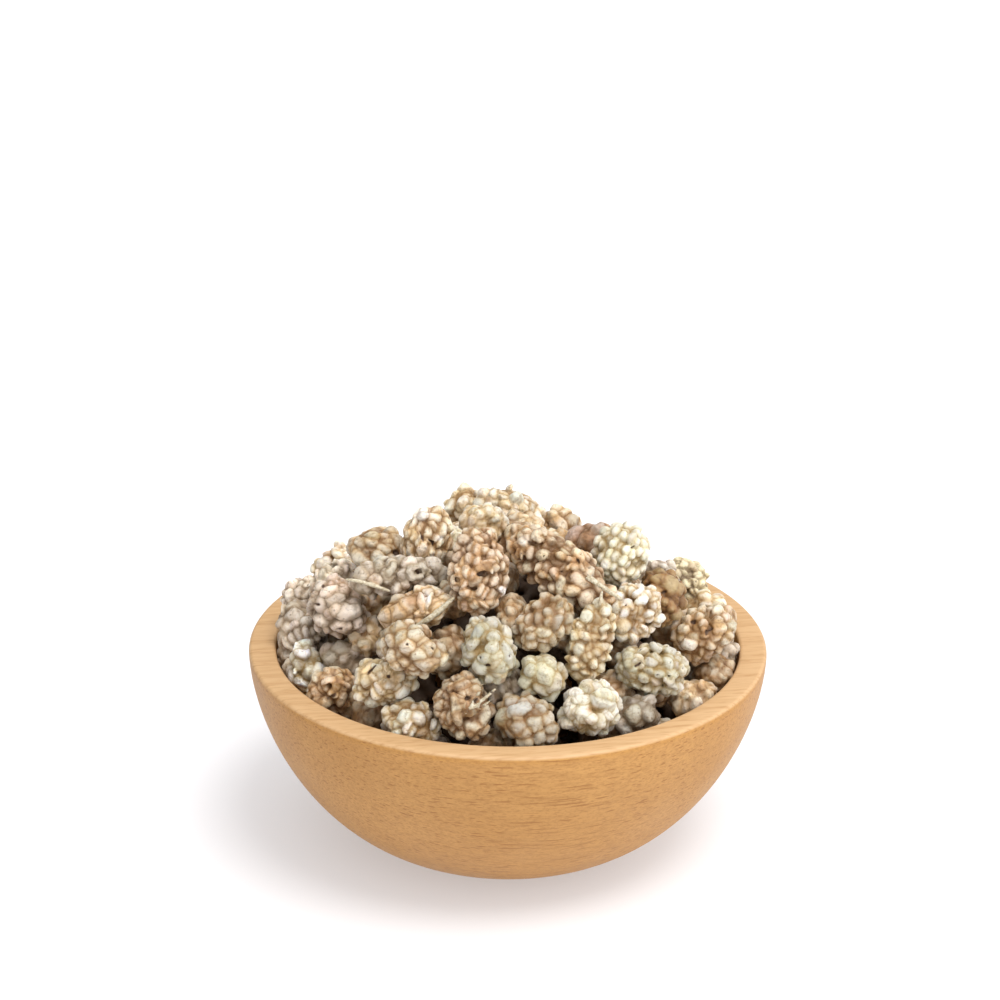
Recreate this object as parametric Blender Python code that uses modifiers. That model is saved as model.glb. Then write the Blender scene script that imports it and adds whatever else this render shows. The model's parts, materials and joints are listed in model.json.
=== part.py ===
"""A turned beech bowl heaped with dried white mulberries. Blender 4.5, metres, +Z up.

The origin is the middle of the bowl's foot, on the surface that it stands on. Sizes below are in millimetres.
"""

import math
import random
from collections import namedtuple

import bmesh
import bpy
import numpy as np
from mathutils import Vector

MM = 0.001
GOLDEN_TURN = math.pi * (3.0 - math.sqrt(5.0))

# The bowl
RIM_RADIUS = 60.0
BOWL_HEIGHT = 48.5
FOOT_RADIUS = 17.5
WALL = 6.3
FLOOR = 7.0
EDGE_ROUND = 0.9
OUTER_POWER = 1.2
BOWL_SIDES = 52
OUTER_RINGS = 8
INNER_RINGS = 8

# The heap: its bed is the dome that the outer layer of mulberries lies on, lower behind its ridge, and its core
# fills the bowl to the bed
BED_RISE = 23.5
BED_FALL = 47.0
BED_REACH = 50.0
BED_POWER = 3.4
BACK_START = -8.0
BACK_RUN = 24.0
BACK_DROP = 12.5
SLOPE_STEP = 0.01
GAP = 0.36
WALL_GAP = 0.7
CORE_TIPS = 110
CORE_HOLLOW = 0.5
CORE_MIDDLE = 34.0
CORE_JITTER = 0.04

# The outer layer: a closeness of 1 would give the near side's mulberries the full size that the picture shows
CLOSENESS = 0.985
FAR_COUNT = 25
FAR_REACH = 47.0
FAR_START = 1.0
FAR_LENGTH = (13.5, 17.5)
FAR_WIDTH = (11.4, 13.4)
FAR_TONES = ("tan", "cream", "white", "brown", "grey", "cream", "tan")
SEED = 11

# How the outer layer settles: the pull to the picture's places and leans, the sinking, and the push apart
SETTLE_STEPS = 420
PLACE_PULL = 0.3
LEAN_PULL = 0.1
SINKING = 0.1
PUSH = 1.6
BEADS = (-1.0, -0.55, 0.0, 0.55, 1.0)

# The mulberries that show in the gaps, from the largest to the smallest, and how far out and in they may lie
BENEATH_COUNT = 42
BENEATH_SIZE = (15.0, 9.0)
BENEATH_SLIMNESS = 0.86
BENEATH_RISE = 0.45
BENEATH_SHOW = 1.6
BENEATH_SINK = 1.6

# One mulberry's drupelets: the surface that each takes up, in square mm, and the depth of the hollows
TIP_SPREAD = 15.8
BENEATH_TIP_SPREAD = 30.0
TIP_JITTER = 0.09
TIP_DROP = 0.3
HOLLOW = 1.15
HOLLOW_RANGE = (0.8, 1.2)

# How the heap is seen from the front: the picture's scale at the rim's centre, and the line of sight there
PIXELS_PER_MM = 4.301
RIM_PIXEL = (507.8, 640.8)
SIGHT_TILT = math.radians(24.9)
SIGHT_ROLL = math.radians(-0.57)
SIGHT_REACH = 750.0
SIGHT_STEP = 0.05

# A mulberry of the near side: where its middle shows in the picture, in pixels, its length and width in
# millimetres, and how its tip points from its stalk end, in degrees anticlockwise from level
Seen = namedtuple("Seen", "x y length width lean tone")
NEAR = (
    Seen(x=380, y=551, length=14.4, width=11.6, lean=-15, tone="tan"),
    Seen(x=427, y=535, length=14.8, width=11.4, lean=70, tone="tan"),
    Seen(x=466, y=511, length=12.4, width=10.2, lean=80, tone="cream"),
    Seen(x=510, y=510, length=16.6, width=11.2, lean=-15, tone="cream"),
    Seen(x=476, y=569, length=20.4, width=14.0, lean=82, tone="brown"),
    Seen(x=336, y=571, length=13.6, width=11.4, lean=60, tone="cream"),
    Seen(x=412, y=577, length=14.6, width=9.4, lean=12, tone="grey"),
    Seen(x=416, y=610, length=18.0, width=9.4, lean=192, tone="tan"),
    Seen(x=412, y=652, length=15.0, width=12.4, lean=-30, tone="tan"),
    Seen(x=391, y=688, length=15.8, width=10.8, lean=5, tone="cream"),
    Seen(x=338, y=609, length=15.8, width=12.6, lean=-35, tone="grey"),
    Seen(x=304, y=637, length=13.0, width=10.4, lean=80, tone="grey"),
    Seen(x=296, y=603, length=12.4, width=10.0, lean=60, tone="grey"),
    Seen(x=303, y=665, length=12.4, width=9.6, lean=160, tone="white"),
    Seen(x=333, y=693, length=12.8, width=10.4, lean=30, tone="brown"),
    Seen(x=490, y=654, length=16.4, width=12.2, lean=72, tone="white"),
    Seen(x=467, y=711, length=15.4, width=12.6, lean=0, tone="brown"),
    Seen(x=415, y=724, length=14.6, width=10.8, lean=-5, tone="cream"),
    Seen(x=541, y=685, length=12.6, width=10.0, lean=-50, tone="white"),
    Seen(x=533, y=727, length=15.4, width=12.0, lean=5, tone="tan"),
    Seen(x=588, y=711, length=14.8, width=12.4, lean=20, tone="white"),
    Seen(x=543, y=632, length=15.4, width=11.4, lean=70, tone="tan"),
    Seen(x=588, y=650, length=17.4, width=10.8, lean=265, tone="cream"),
    Seen(x=551, y=563, length=20.2, width=14.0, lean=132, tone="brown"),
    Seen(x=561, y=528, length=12.6, width=10.4, lean=0, tone="tan"),
    Seen(x=621, y=555, length=15.4, width=13.4, lean=60, tone="white"),
    Seen(x=595, y=547, length=12.6, width=10.2, lean=30, tone="brown"),
    Seen(x=660, y=595, length=13.4, width=11.6, lean=-30, tone="brown"),
    Seen(x=684, y=583, length=13.0, width=11.0, lean=-45, tone="grey"),
    Seen(x=702, y=634, length=15.8, width=12.6, lean=15, tone="tan"),
    Seen(x=632, y=617, length=15.2, width=12.2, lean=75, tone="cream"),
    Seen(x=649, y=675, length=18.0, width=12.2, lean=-20, tone="white"),
    Seen(x=643, y=712, length=12.4, width=10.4, lean=-30, tone="grey"),
)

# Which mulberries of the near side keep a stalk, counted from 1, and how long it stands out
STALKS = {7: 6.0, 14: 4.5, 23: 3.0, 24: 7.0}
STALK_WIDTH = 1.1
STALK_RISE = 0.5
STALK_ROOT = 0.85
STALK_WAIST = 0.35

COLOURS = {
    "beech": (0.62, 0.34, 0.13),
    "white": (0.72, 0.66, 0.53),
    "cream": (0.62, 0.50, 0.34),
    "tan": (0.52, 0.37, 0.21),
    "brown": (0.40, 0.25, 0.12),
    "grey": (0.46, 0.40, 0.32),
    "shade": (0.24, 0.17, 0.11),
}
BEECH_ROUGHNESS = 0.45
FRUIT_ROUGHNESS = 0.6

# half and girth are half of the length and half of the width
Mulberry = namedtuple("Mulberry", "centre axis half girth tone stalk")


def clear_scene():
    for obj in list(bpy.data.objects):
        bpy.data.objects.remove(obj)


def collection(name):
    made = bpy.data.collections.new(name)
    bpy.context.scene.collection.children.link(made)
    return made


def material(name, roughness):
    made = bpy.data.materials.new(name)
    made.use_nodes = True
    shader = made.node_tree.nodes["Principled BSDF"]
    shader.inputs["Base Color"].default_value = (*COLOURS[name], 1.0)
    shader.inputs["Roughness"].default_value = roughness
    shader.inputs["Metallic"].default_value = 0.0
    return made


def unit(vector):
    return vector / np.linalg.norm(vector)


def wall_curve(rings, rim, low, high):
    """(radius, height) points up a wall that leaves the flat foot level and reaches the rim upright."""
    for turn in np.linspace(0.0, math.pi / 2, rings):
        radius = FOOT_RADIUS + (rim - FOOT_RADIUS) * math.sin(turn)
        yield radius, high - (high - low) * math.cos(turn) ** OUTER_POWER


def corner(radius, height, start):
    """Three (radius, height) points round a rim edge, about its own centre, from the angle start down by 90 degrees."""
    for turn in (start, start - math.pi / 4, start - math.pi / 2):
        yield radius + EDGE_ROUND * math.cos(turn), height + EDGE_ROUND * math.sin(turn)


def bowl_profile():
    """The bowl's half section, from the middle of its floor, up the inside and down the outside."""
    shoulder = BOWL_HEIGHT - EDGE_ROUND
    inner = RIM_RADIUS - WALL
    inside = list(wall_curve(INNER_RINGS, inner, FLOOR, shoulder))
    outside = list(wall_curve(OUTER_RINGS, RIM_RADIUS, 0.0, shoulder))
    points = [(0.0, FLOOR), *inside[:-1]]
    points += corner(inner + EDGE_ROUND, shoulder, math.pi)
    points += corner(RIM_RADIUS - EDGE_ROUND, shoulder, math.pi / 2)
    points += [*reversed(outside[:-1]), (0.0, 0.0)]
    return points


def make_bowl(name, parts):
    """The bowl, turned from its half section round the Z axis."""
    mesh = bpy.data.meshes.new(name)
    shape = bmesh.new()
    points = [shape.verts.new((radius * MM, 0.0, height * MM)) for radius, height in bowl_profile()]
    for first, second in zip(points, points[1:]):
        shape.edges.new((first, second))
    shape.to_mesh(mesh)
    shape.free()
    bowl = bpy.data.objects.new(name, mesh)
    parts.objects.link(bowl)
    turned = bowl.modifiers.new("turned", "SCREW")
    turned.axis = "Z"
    turned.steps = turned.render_steps = BOWL_SIDES
    turned.use_merge_vertices = True
    turned.merge_threshold = 0.00001
    turned.use_normal_calculate = True
    bowl.data.materials.append(material("beech", BEECH_ROUGHNESS))
    return bowl


def inner_radius(height):
    """The radius of the bowl's inside at a height, and of the rim's inside above it."""
    inner = RIM_RADIUS - WALL
    share = np.clip((BOWL_HEIGHT - height) / (BOWL_HEIGHT - FLOOR), 0.0, 1.0)
    return FOOT_RADIUS + (inner - FOOT_RADIUS) * np.sqrt(1.0 - share ** (2.0 / OUTER_POWER))


def bed_height(x, y):
    """The height of the bed at a place."""
    dome = BED_FALL * (np.hypot(x, y) / BED_REACH) ** BED_POWER
    behind = np.clip((y - BACK_START) / BACK_RUN, 0.0, 1.0)
    return BOWL_HEIGHT + BED_RISE - dome - BACK_DROP * behind**2 * (3.0 - 2.0 * behind)


def bed_normal(point):
    """The bed's upward normal under a point, or under each of an array of points."""
    x, y = point[..., 0], point[..., 1]
    level = bed_height(x, y)
    slope_x = (bed_height(x + SLOPE_STEP, y) - level) / SLOPE_STEP
    slope_y = (bed_height(x, y + SLOPE_STEP) - level) / SLOPE_STEP
    normal = np.stack([-slope_x, -slope_y, np.ones_like(level)], axis=-1)
    return normal / np.linalg.norm(normal, axis=-1, keepdims=True)


def above_bed(point):
    """How far a point is from the bed, measured along the bed's normal."""
    return (point[..., 2] - bed_height(point[..., 0], point[..., 1])) * bed_normal(point)[..., 2]


def sight(x, y):
    """The eye, the direction from it through a pixel of the picture, and the picture's own right and up."""
    ahead = np.array([0.0, math.cos(SIGHT_TILT), -math.sin(SIGHT_TILT)])
    level_up = np.array([0.0, math.sin(SIGHT_TILT), math.cos(SIGHT_TILT)])
    level_right = np.array([1.0, 0.0, 0.0])
    right = math.cos(SIGHT_ROLL) * level_right - math.sin(SIGHT_ROLL) * level_up
    up = math.cos(SIGHT_ROLL) * level_up + math.sin(SIGHT_ROLL) * level_right
    eye = np.array([0.0, 0.0, BOWL_HEIGHT]) - SIGHT_REACH * ahead
    through = (
        SIGHT_REACH * ahead
        + (x - RIM_PIXEL[0]) / PIXELS_PER_MM * right
        + (RIM_PIXEL[1] - y) / PIXELS_PER_MM * up
    )
    return eye, unit(through), right, up


def thickness(centre, axis, half, girth):
    """How far a mulberry reaches from its centre towards the bed."""
    along = np.dot(axis, bed_normal(centre))
    return math.sqrt((half * along) ** 2 + girth**2 * (1.0 - along**2))


def near_mulberries():
    """The near side's mulberries, each on the bed at the place where the picture shows it, and their sight lines."""
    found, sights = [], []
    for number, seen in enumerate(NEAR, start=1):
        eye, along, right, up = sight(seen.x, seen.y)
        half, girth = CLOSENESS * seen.length / 2, CLOSENESS * seen.width / 2
        lean = math.radians(seen.lean)
        shown = math.cos(lean) * right + math.sin(lean) * up
        axis = unit(shown - np.dot(shown, along) * along)
        reach = SIGHT_REACH - RIM_RADIUS
        centre = eye + reach * along
        while above_bed(centre) > thickness(centre, axis, half, girth) and reach < SIGHT_REACH + RIM_RADIUS:
            reach += SIGHT_STEP
            centre = eye + reach * along
        found.append(Mulberry(centre, axis, half, girth, seen.tone, STALKS.get(number, 0.0)))
        sights.append(along)
    return found, sights


def spiral(count, radius):
    """Points spread evenly over a disc."""
    for number in range(count):
        away = radius * math.sqrt((number + 0.5) / count)
        yield away * math.cos(number * GOLDEN_TURN), away * math.sin(number * GOLDEN_TURN)


def far_mulberries(near, draw):
    """Mulberries for the rest of the bed, each in the middle of the widest bare place left."""
    found = list(near)
    places = [(x, y) for x, y in spiral(400, FAR_REACH) if y > FAR_START]
    for number in range(FAR_COUNT):
        half = draw.uniform(*FAR_LENGTH) / 2
        girth = draw.uniform(*FAR_WIDTH) / 2
        best, room = None, -math.inf
        for x, y in places:
            point = np.array([x, y, bed_height(x, y)])
            point += girth * bed_normal(point)
            bare = min(np.linalg.norm(point - other.centre) - (other.half + other.girth) / 2 for other in found)
            if bare > room:
                best, room = point, bare
        turn = draw.uniform(0.0, math.pi)
        level = unit(np.cross(bed_normal(best), [math.cos(turn), math.sin(turn), 0.0]))
        found.append(Mulberry(best, level, half, girth, FAR_TONES[number % len(FAR_TONES)], 0.0))
    return found[len(near):]


def beads(mulberries):
    """Each mulberry as five spheres that fill it: how far along its axis each is, and its radius with half the gap."""
    places, radii = [], []
    for one in mulberries:
        girth = min(one.girth, 0.985 * one.half)
        along = np.array(BEADS) * (one.half - girth**2 / one.half)
        places.append(along)
        radii.append(girth * np.sqrt(1.0 - along**2 / (one.half**2 - girth**2)) + GAP / 2)
    return np.array(places), np.array(radii)


def pushed_apart(spheres, radii, owner):
    """How each sphere has to move to be clear of the other mulberries, the bed and the bowl's wall."""
    between = spheres[:, None] - spheres[None]
    distance = np.linalg.norm(between, axis=-1) + 1e-9
    overlap = radii[:, None] + radii[None] - distance
    overlap[owner[:, None] == owner[None]] = 0.0
    overlap = np.clip(overlap, 0.0, None)
    moved = (0.5 * overlap / distance)[..., None] * between
    touching = np.maximum((overlap > 0).sum(axis=1), 1)
    move = moved.sum(axis=1) / np.sqrt(touching)[:, None]
    sunk = np.clip(radii - above_bed(spheres), 0.0, None)
    move += sunk[:, None] * bed_normal(spheres)
    across = np.hypot(spheres[:, 0], spheres[:, 1]) + 1e-9
    outside = np.clip(across + radii + WALL_GAP - inner_radius(spheres[:, 2]), 0.0, None)
    move[:, :2] -= (outside / across)[:, None] * spheres[:, :2]
    return move


def settled(mulberries, sights):
    """The mulberries drawn down to the bed and pushed apart, until each lies clear of the rest.

    One that the picture shows is pulled back to its sight line and its lean, until the last steps.
    """
    along, radii = beads(mulberries)
    owner = np.repeat(np.arange(len(mulberries)), len(BEADS))
    centre = np.array([one.centre for one in mulberries])
    axis = np.array([one.axis for one in mulberries])
    home, lie = centre.copy(), axis.copy()
    unseen = len(mulberries) - len(sights)
    shown = np.array([*sights, *[(0.0, 0.0, 0.0)] * unseen])
    held = np.array([1.0] * len(sights) + [0.0] * unseen)[:, None]
    spread = (along**2).sum(axis=1)[:, None]
    for step in range(SETTLE_STEPS):
        ease = min(1.0, max(0.0, 3.0 - 3.5 * step / SETTLE_STEPS))
        drift = home - centre
        drift -= (drift * shown).sum(axis=1)[:, None] * shown
        centre = centre + PLACE_PULL * ease * held * drift
        axis = axis + LEAN_PULL * ease * held * (lie - axis)
        centre = centre - SINKING * ease * bed_normal(centre)
        spheres = centre[:, None] + along[..., None] * axis[:, None]
        move = pushed_apart(spheres.reshape(-1, 3), radii.ravel(), owner).reshape(spheres.shape)
        centre = centre + PUSH * move.mean(axis=1)
        axis = axis + PUSH * (along[..., None] * move).sum(axis=1) / np.maximum(spread, 1.0)
        axis /= np.linalg.norm(axis, axis=1)[:, None]
    return [one._replace(centre=c, axis=a) for one, c, a in zip(mulberries, centre, axis)]


def heap():
    """Every mulberry of the outer layer, where it lies."""
    draw = random.Random(SEED)
    near, sights = near_mulberries()
    return settled(near + far_mulberries(near, draw), sights)


def beneath_mulberries(outer):
    """The mulberries that show in the gaps, each as far out along the bed's normal as the outer layer lets it."""
    draw = random.Random(SEED)
    along, radii = beads(outer)
    spheres = np.concatenate([one.centre + away[:, None] * one.axis for one, away in zip(outer, along)])
    radii = radii.ravel() + GAP / 2
    ground = np.array([(x, y, bed_height(x, y)) for x, y in spiral(700, BED_REACH)])
    normal = bed_normal(ground)
    found = []
    for size in np.linspace(*BENEATH_SIZE, BENEATH_COUNT):
        half = size / 2
        rise = np.linspace(-half, BENEATH_RISE * half, 24)
        places = ground[:, None] + rise[None, :, None] * normal[:, None]
        free = inner_radius(places[..., 2]) - np.hypot(places[..., 0], places[..., 1]) > half + WALL_GAP
        for sphere, radius in zip(spheres, radii):
            free &= np.linalg.norm(places - sphere, axis=-1) > half + radius
        steps = np.cumprod(free, axis=1).sum(axis=1)
        best = int(np.argmax(steps))
        if steps[best] == 0 or rise[steps[best] - 1] + half < BENEATH_SHOW:
            continue
        centre = places[best, steps[best] - 1]
        turn = draw.uniform(0.0, math.pi)
        level = unit(np.cross(normal[best], [math.cos(turn), math.sin(turn), 0.0]))
        found.append(Mulberry(centre, level, half, BENEATH_SLIMNESS * half, "shade", 0.0))
        spheres = np.concatenate([spheres, centre[None]])
        radii = np.append(radii, half - BENEATH_SINK)
    return found


def sphere_points(count, draw, jitter):
    """Directions spread evenly over a sphere, each moved a little at random."""
    for number in range(count):
        height = 1.0 - (2.0 * number + 1.0) / count
        level = math.sqrt(1.0 - height**2)
        turn = number * GOLDEN_TURN
        point = Vector((height, level * math.cos(turn), level * math.sin(turn)))
        point += Vector([draw.uniform(-jitter, jitter) for _ in range(3)])
        yield point.normalized()


def knobbly(tips, place):
    """A closed shape with a knob at each direction in tips and a hollow between each three of them.

    place gives the point for a direction and whether it is a tip.
    """
    shape = bmesh.new()
    for tip in tips:
        shape.verts.new(tip)
    bmesh.ops.convex_hull(shape, input=shape.verts)
    hollows = [face.calc_center_median().normalized() for face in shape.faces]
    bmesh.ops.delete(shape, geom=list(shape.faces) + list(shape.edges), context="EDGES_FACES")
    for hollow in hollows:
        shape.verts.new(hollow)
    bmesh.ops.convex_hull(shape, input=shape.verts)
    shape.verts.index_update()
    for vert in shape.verts:
        vert.co = place(vert.co.copy(), vert.index < len(tips))
    shape.normal_update()
    return shape


def mulberry_shape(one, spread, draw):
    """One dried mulberry round its own middle: an ovoid of drupelets, each taking up about spread square mm."""
    power = 1.6
    sides = 2 * (one.half * one.girth) ** power + one.girth ** (2 * power)
    area = 4 * math.pi * (sides / 3) ** (1 / power)
    tips = list(sphere_points(round(area / spread), draw, TIP_JITTER))
    axis = Vector(one.axis)
    side = Vector(unit(np.cross(one.axis, bed_normal(one.centre))))
    across = axis.cross(side)

    def place(direction, is_tip):
        drop = draw.uniform(0.0, TIP_DROP) if is_tip else draw.uniform(*HOLLOW_RANGE) * HOLLOW
        half, girth = one.half - drop, one.girth - drop
        point = axis * direction.x * half + side * direction.y * girth + across * direction.z * girth
        return point * MM

    return knobbly(tips, place)


def add_stalk(shape, root, out, length):
    """Draws the face nearest to root out into a stalk."""
    face = min(shape.faces, key=lambda f: (f.calc_center_median() - root).length)
    for reach in (STALK_WAIST * length, length):
        face = bmesh.ops.extrude_discrete_faces(shape, faces=[face])["faces"][0]
        middle = face.calc_center_median()
        for vert in face.verts:
            edge = (vert.co - middle).normalized() * STALK_WIDTH * MM / 2
            vert.co = middle + edge + out * (reach * MM)


def link_shape(shape, name, parts, finish):
    mesh = bpy.data.meshes.new(name)
    shape.to_mesh(mesh)
    shape.free()
    made = bpy.data.objects.new(name, mesh)
    made.data.materials.append(finish)
    parts.objects.link(made)
    return made


def make_mulberry(name, one, parts, finish, draw):
    """One dried mulberry of the outer layer, with the stalk that some keep."""
    shape = mulberry_shape(one, TIP_SPREAD, draw)
    if one.stalk:
        end = -Vector(one.axis)
        out = (end + STALK_RISE * Vector(bed_normal(one.centre))).normalized()
        add_stalk(shape, end * one.half * STALK_ROOT * MM, out, one.stalk)
    made = link_shape(shape, name, parts, finish)
    made.location = Vector(one.centre) * MM
    return made


def core_shape(draw):
    """The heap under its outer layer: it fills the bowl and rises to the bed."""
    middle = np.array([0.0, 0.0, CORE_MIDDLE])

    def place(direction, is_tip):
        drop = GAP if is_tip else GAP + draw.uniform(*HOLLOW_RANGE) * CORE_HOLLOW
        ray = np.array(direction)
        low, high = 0.0, 2 * RIM_RADIUS
        while high - low > 0.001:
            reach = (low + high) / 2
            point = middle + reach * ray
            wall = inner_radius(point[2]) - math.hypot(point[0], point[1])
            clear = min(wall - WALL_GAP, point[2] - FLOOR - WALL_GAP, -above_bed(point))
            low, high = (reach, high) if clear > drop else (low, reach)
        return Vector(middle + low * ray) * MM

    return knobbly(list(sphere_points(CORE_TIPS, draw, CORE_JITTER)), place)


def make_beneath(name, outer, parts, finish, draw):
    """The mulberries beneath, which hold up the outer layer: pressed together as one body."""
    made = link_shape(core_shape(draw), name, parts, finish)
    pieces = collection("pieces_beneath")
    for number, one in enumerate(beneath_mulberries(outer)):
        shape = mulberry_shape(one, BENEATH_TIP_SPREAD, draw)
        link_shape(shape, f"piece_{number}", pieces, finish).location = Vector(one.centre) * MM
    joined = made.modifiers.new("joined", "BOOLEAN")
    joined.operation = "UNION"
    joined.operand_type = "COLLECTION"
    joined.collection = pieces
    joined.solver = "EXACT"
    bpy.context.view_layer.update()
    evaluated = made.evaluated_get(bpy.context.evaluated_depsgraph_get())
    made.data = bpy.data.meshes.new_from_object(evaluated)
    made.modifiers.clear()
    for piece in list(pieces.objects):
        bpy.data.objects.remove(piece)
    bpy.data.collections.remove(pieces)
    return made


def build():
    clear_scene()
    parts = collection("dried_mulberries_in_bowl")
    make_bowl("bowl", parts)
    draw = random.Random(SEED)
    outer = heap()
    make_beneath("mulberries_beneath", outer, parts, material("shade", FRUIT_ROUGHNESS), draw)
    tones = {one.tone for one in outer}
    finishes = {tone: material(tone, FRUIT_ROUGHNESS) for tone in sorted(tones)}
    for number, one in enumerate(outer, start=1):
        make_mulberry(f"mulberry_{number:02d}", one, parts, finishes[one.tone], draw)


if __name__ == "__main__":
    build()
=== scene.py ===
"""A turned beech bowl heaped with dried white mulberries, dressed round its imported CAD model. Blender 4.5.

Shapes are worked out in millimetres in the frame's own axes, and go to metres when their meshes are made.
"""

import json
import math
from collections import namedtuple

import bmesh
import bpy
import numpy as np
from mathutils import Matrix, Vector, noise


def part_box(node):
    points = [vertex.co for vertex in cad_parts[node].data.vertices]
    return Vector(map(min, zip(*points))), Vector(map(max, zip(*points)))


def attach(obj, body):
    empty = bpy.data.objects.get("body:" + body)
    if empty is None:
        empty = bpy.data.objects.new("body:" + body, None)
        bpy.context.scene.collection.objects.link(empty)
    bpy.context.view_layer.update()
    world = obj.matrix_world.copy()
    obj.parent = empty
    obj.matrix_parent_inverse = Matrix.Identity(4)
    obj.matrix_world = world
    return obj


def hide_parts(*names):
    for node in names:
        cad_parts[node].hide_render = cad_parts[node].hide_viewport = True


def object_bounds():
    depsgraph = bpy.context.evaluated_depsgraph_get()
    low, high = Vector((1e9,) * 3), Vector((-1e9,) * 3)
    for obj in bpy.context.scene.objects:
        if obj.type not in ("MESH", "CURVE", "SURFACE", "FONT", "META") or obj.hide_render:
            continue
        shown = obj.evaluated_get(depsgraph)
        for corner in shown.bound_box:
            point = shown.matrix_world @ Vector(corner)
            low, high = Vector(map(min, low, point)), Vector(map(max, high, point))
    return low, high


MM = 0.001
GOLDEN_TURN = math.pi * (3.0 - math.sqrt(5.0))
SEED = 11

# The bowl: its rim's radius and its height come from the CAD node
FOOT_RADIUS = 17.5
WALL = 6.3
FLOOR = 7.0
EDGE_ROUND = 0.9
EDGE_POINTS = 7
OUTER_POWER = 1.2
WALL_RINGS = 36
BOWL_SIDES = 224
MERGE_REACH = 0.00001

# The bed that the outer mulberries lie on
BED_RISE = 23.5
BED_FALL = 47.0
BED_REACH = 50.0
BED_POWER = 3.4
BACK_START = -8.0
BACK_RUN = 24.0
BACK_DROP = 12.5
SLOPE_STEP = 0.01
WALL_GAP = 0.7

# How the photograph sees the bowl: its scale at the rim's middle, and the line of sight there
PICTURE_SIDE = 1000.0
PIXELS_PER_MM = 4.301
RIM_PIXEL = (507.8, 640.8)
SIGHT_TILT = math.radians(24.9)
SIGHT_ROLL = math.radians(-0.57)
SIGHT_REACH = 750.0
SENSOR = 36.0

# A mulberry's ovoid is read from its node's corners: how far a knob may be from it, and how much it grows
NEAR_COUNT = 33
FIT_ROUNDS = 6
KNOB_SPARE = 0.10
GROWTH = 0.55

# How drupelets lie on an ovoid
SPREAD_STEPS = 14
SPREAD_PUSH = 0.22
SMALLER = 0.66
NEIGHBOURS = 5
SHORT_SHARE = 0.555
LONG_SHARE = 0.57
MOST_SLIM = 2.1
RIB_STRETCH = 1.9
RISE_SHARE = (1.0, 1.35)
TIP_LEAN = 0.3
LEAN_SPREAD = 0.14
SURFACE_DROP = 0.44
PROUD_SHARE = 0.8
SUNKEN_SHARE = 0.14
SUNKEN_DROP = 0.8
LUMP_SIZE = 0.9
LUMP_DEPTH = 0.16
LUMP_START = 0.25
SHORT_RANGE = (0.9, 1.12)
LONG_RANGE = (0.9, 1.15)
RISE_SLIM = 1.5
KNOB_SIZE = 1.08
CORE_DEPTH = 0.9

# The surface round the drupelets
BALL_SUBDIVISIONS = 2
NEAR_VOXEL = 0.325
FAR_VOXEL = 0.56
BENEATH_VOXEL = 0.66
CORE_VOXEL = 1.4
SOFTNESS = 0.09
# The creases, the drupelets' sides near them and the deep places are browned in the material: partly the
# fruit's own colour, partly painted shade. These widths and reaches set how far it goes; the folds and the
# bare flesh take some of the crease colour too.
CREASE_WIDTH = 0.24
FLANK_WIDTH = 0.85
DEPTH_REACH = 1.7
DRAWN_STEPS = 3
MOST_DRAWN = 0.3
WRINKLE_GRAINS = ((2.1, 0.12), (0.7, 0.06))
WARP_GRAIN = 1.9
WARP_SIZE = 0.42
FOLD_GRAIN = 1.7
FOLD_WIDTH = 0.09
FOLD_DEPTH = 0.13
FOLD_SHADE = 0.6
BARE_CREASE = 0.6
DIMPLE_SHARE = 0.35
DIMPLE_WIDTH = 0.5
DIMPLE_DEPTH = 0.22
PORE_WIDTH = 0.26
PORE_SLIM = 1.6
PORE_ASIDE = 0.26
PORE_DEPTH = 0.5
INNER_SIDE = 9.0
HOLE_DEPTH = 0.75
MARK_DEPTH = 2.6
MARK_EDGE = 1.5
SHADE_SPREAD = 0.085
HUE_SPREAD = 0.012
SHADED = (0.5, 0.52, 0.5)
NOISE_SEEDS = (0, 9)
NOISE_STEP = (3.7, 1.9, -2.3)

# The marks on a mulberry, whose waves differ from one mark to another by where they are
BEAD_RISE = 1.1
BEAD_SLIM = 1.4
BEAD_ROOM = 0.45
BEAD_SPARE = 0.3
RING_FLATTENING = 0.82
CURL_POINTS = 14
CURL_WOBBLE = 0.16
CURL_WAVES = (2.3, 1.7)
CURL_LIFT = 0.2
CURL_SINK = 0.2
CURL_ROOM = 0.7
FRILL_UNEVEN = 0.18
FRILL_WAVES = (3.1, 4.3)
FRILL_LIFT = -0.25
FRILL_LENGTH = 0.72
FRILL_RISE = 1.5
FRILL_ROOM = 1.3
STRAND_REACH = 1.25
CHAIN_STEP = 0.55
CHAIN_SIDE = (0.31, 0.52, 0.79)
CHAIN_TAPER = 0.4
CHAIN_LUMPS = 0.22
CHAIN_WAVE = 2.7
CHAIN_BEAD = (0.5, 0.5, 0.75)

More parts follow.
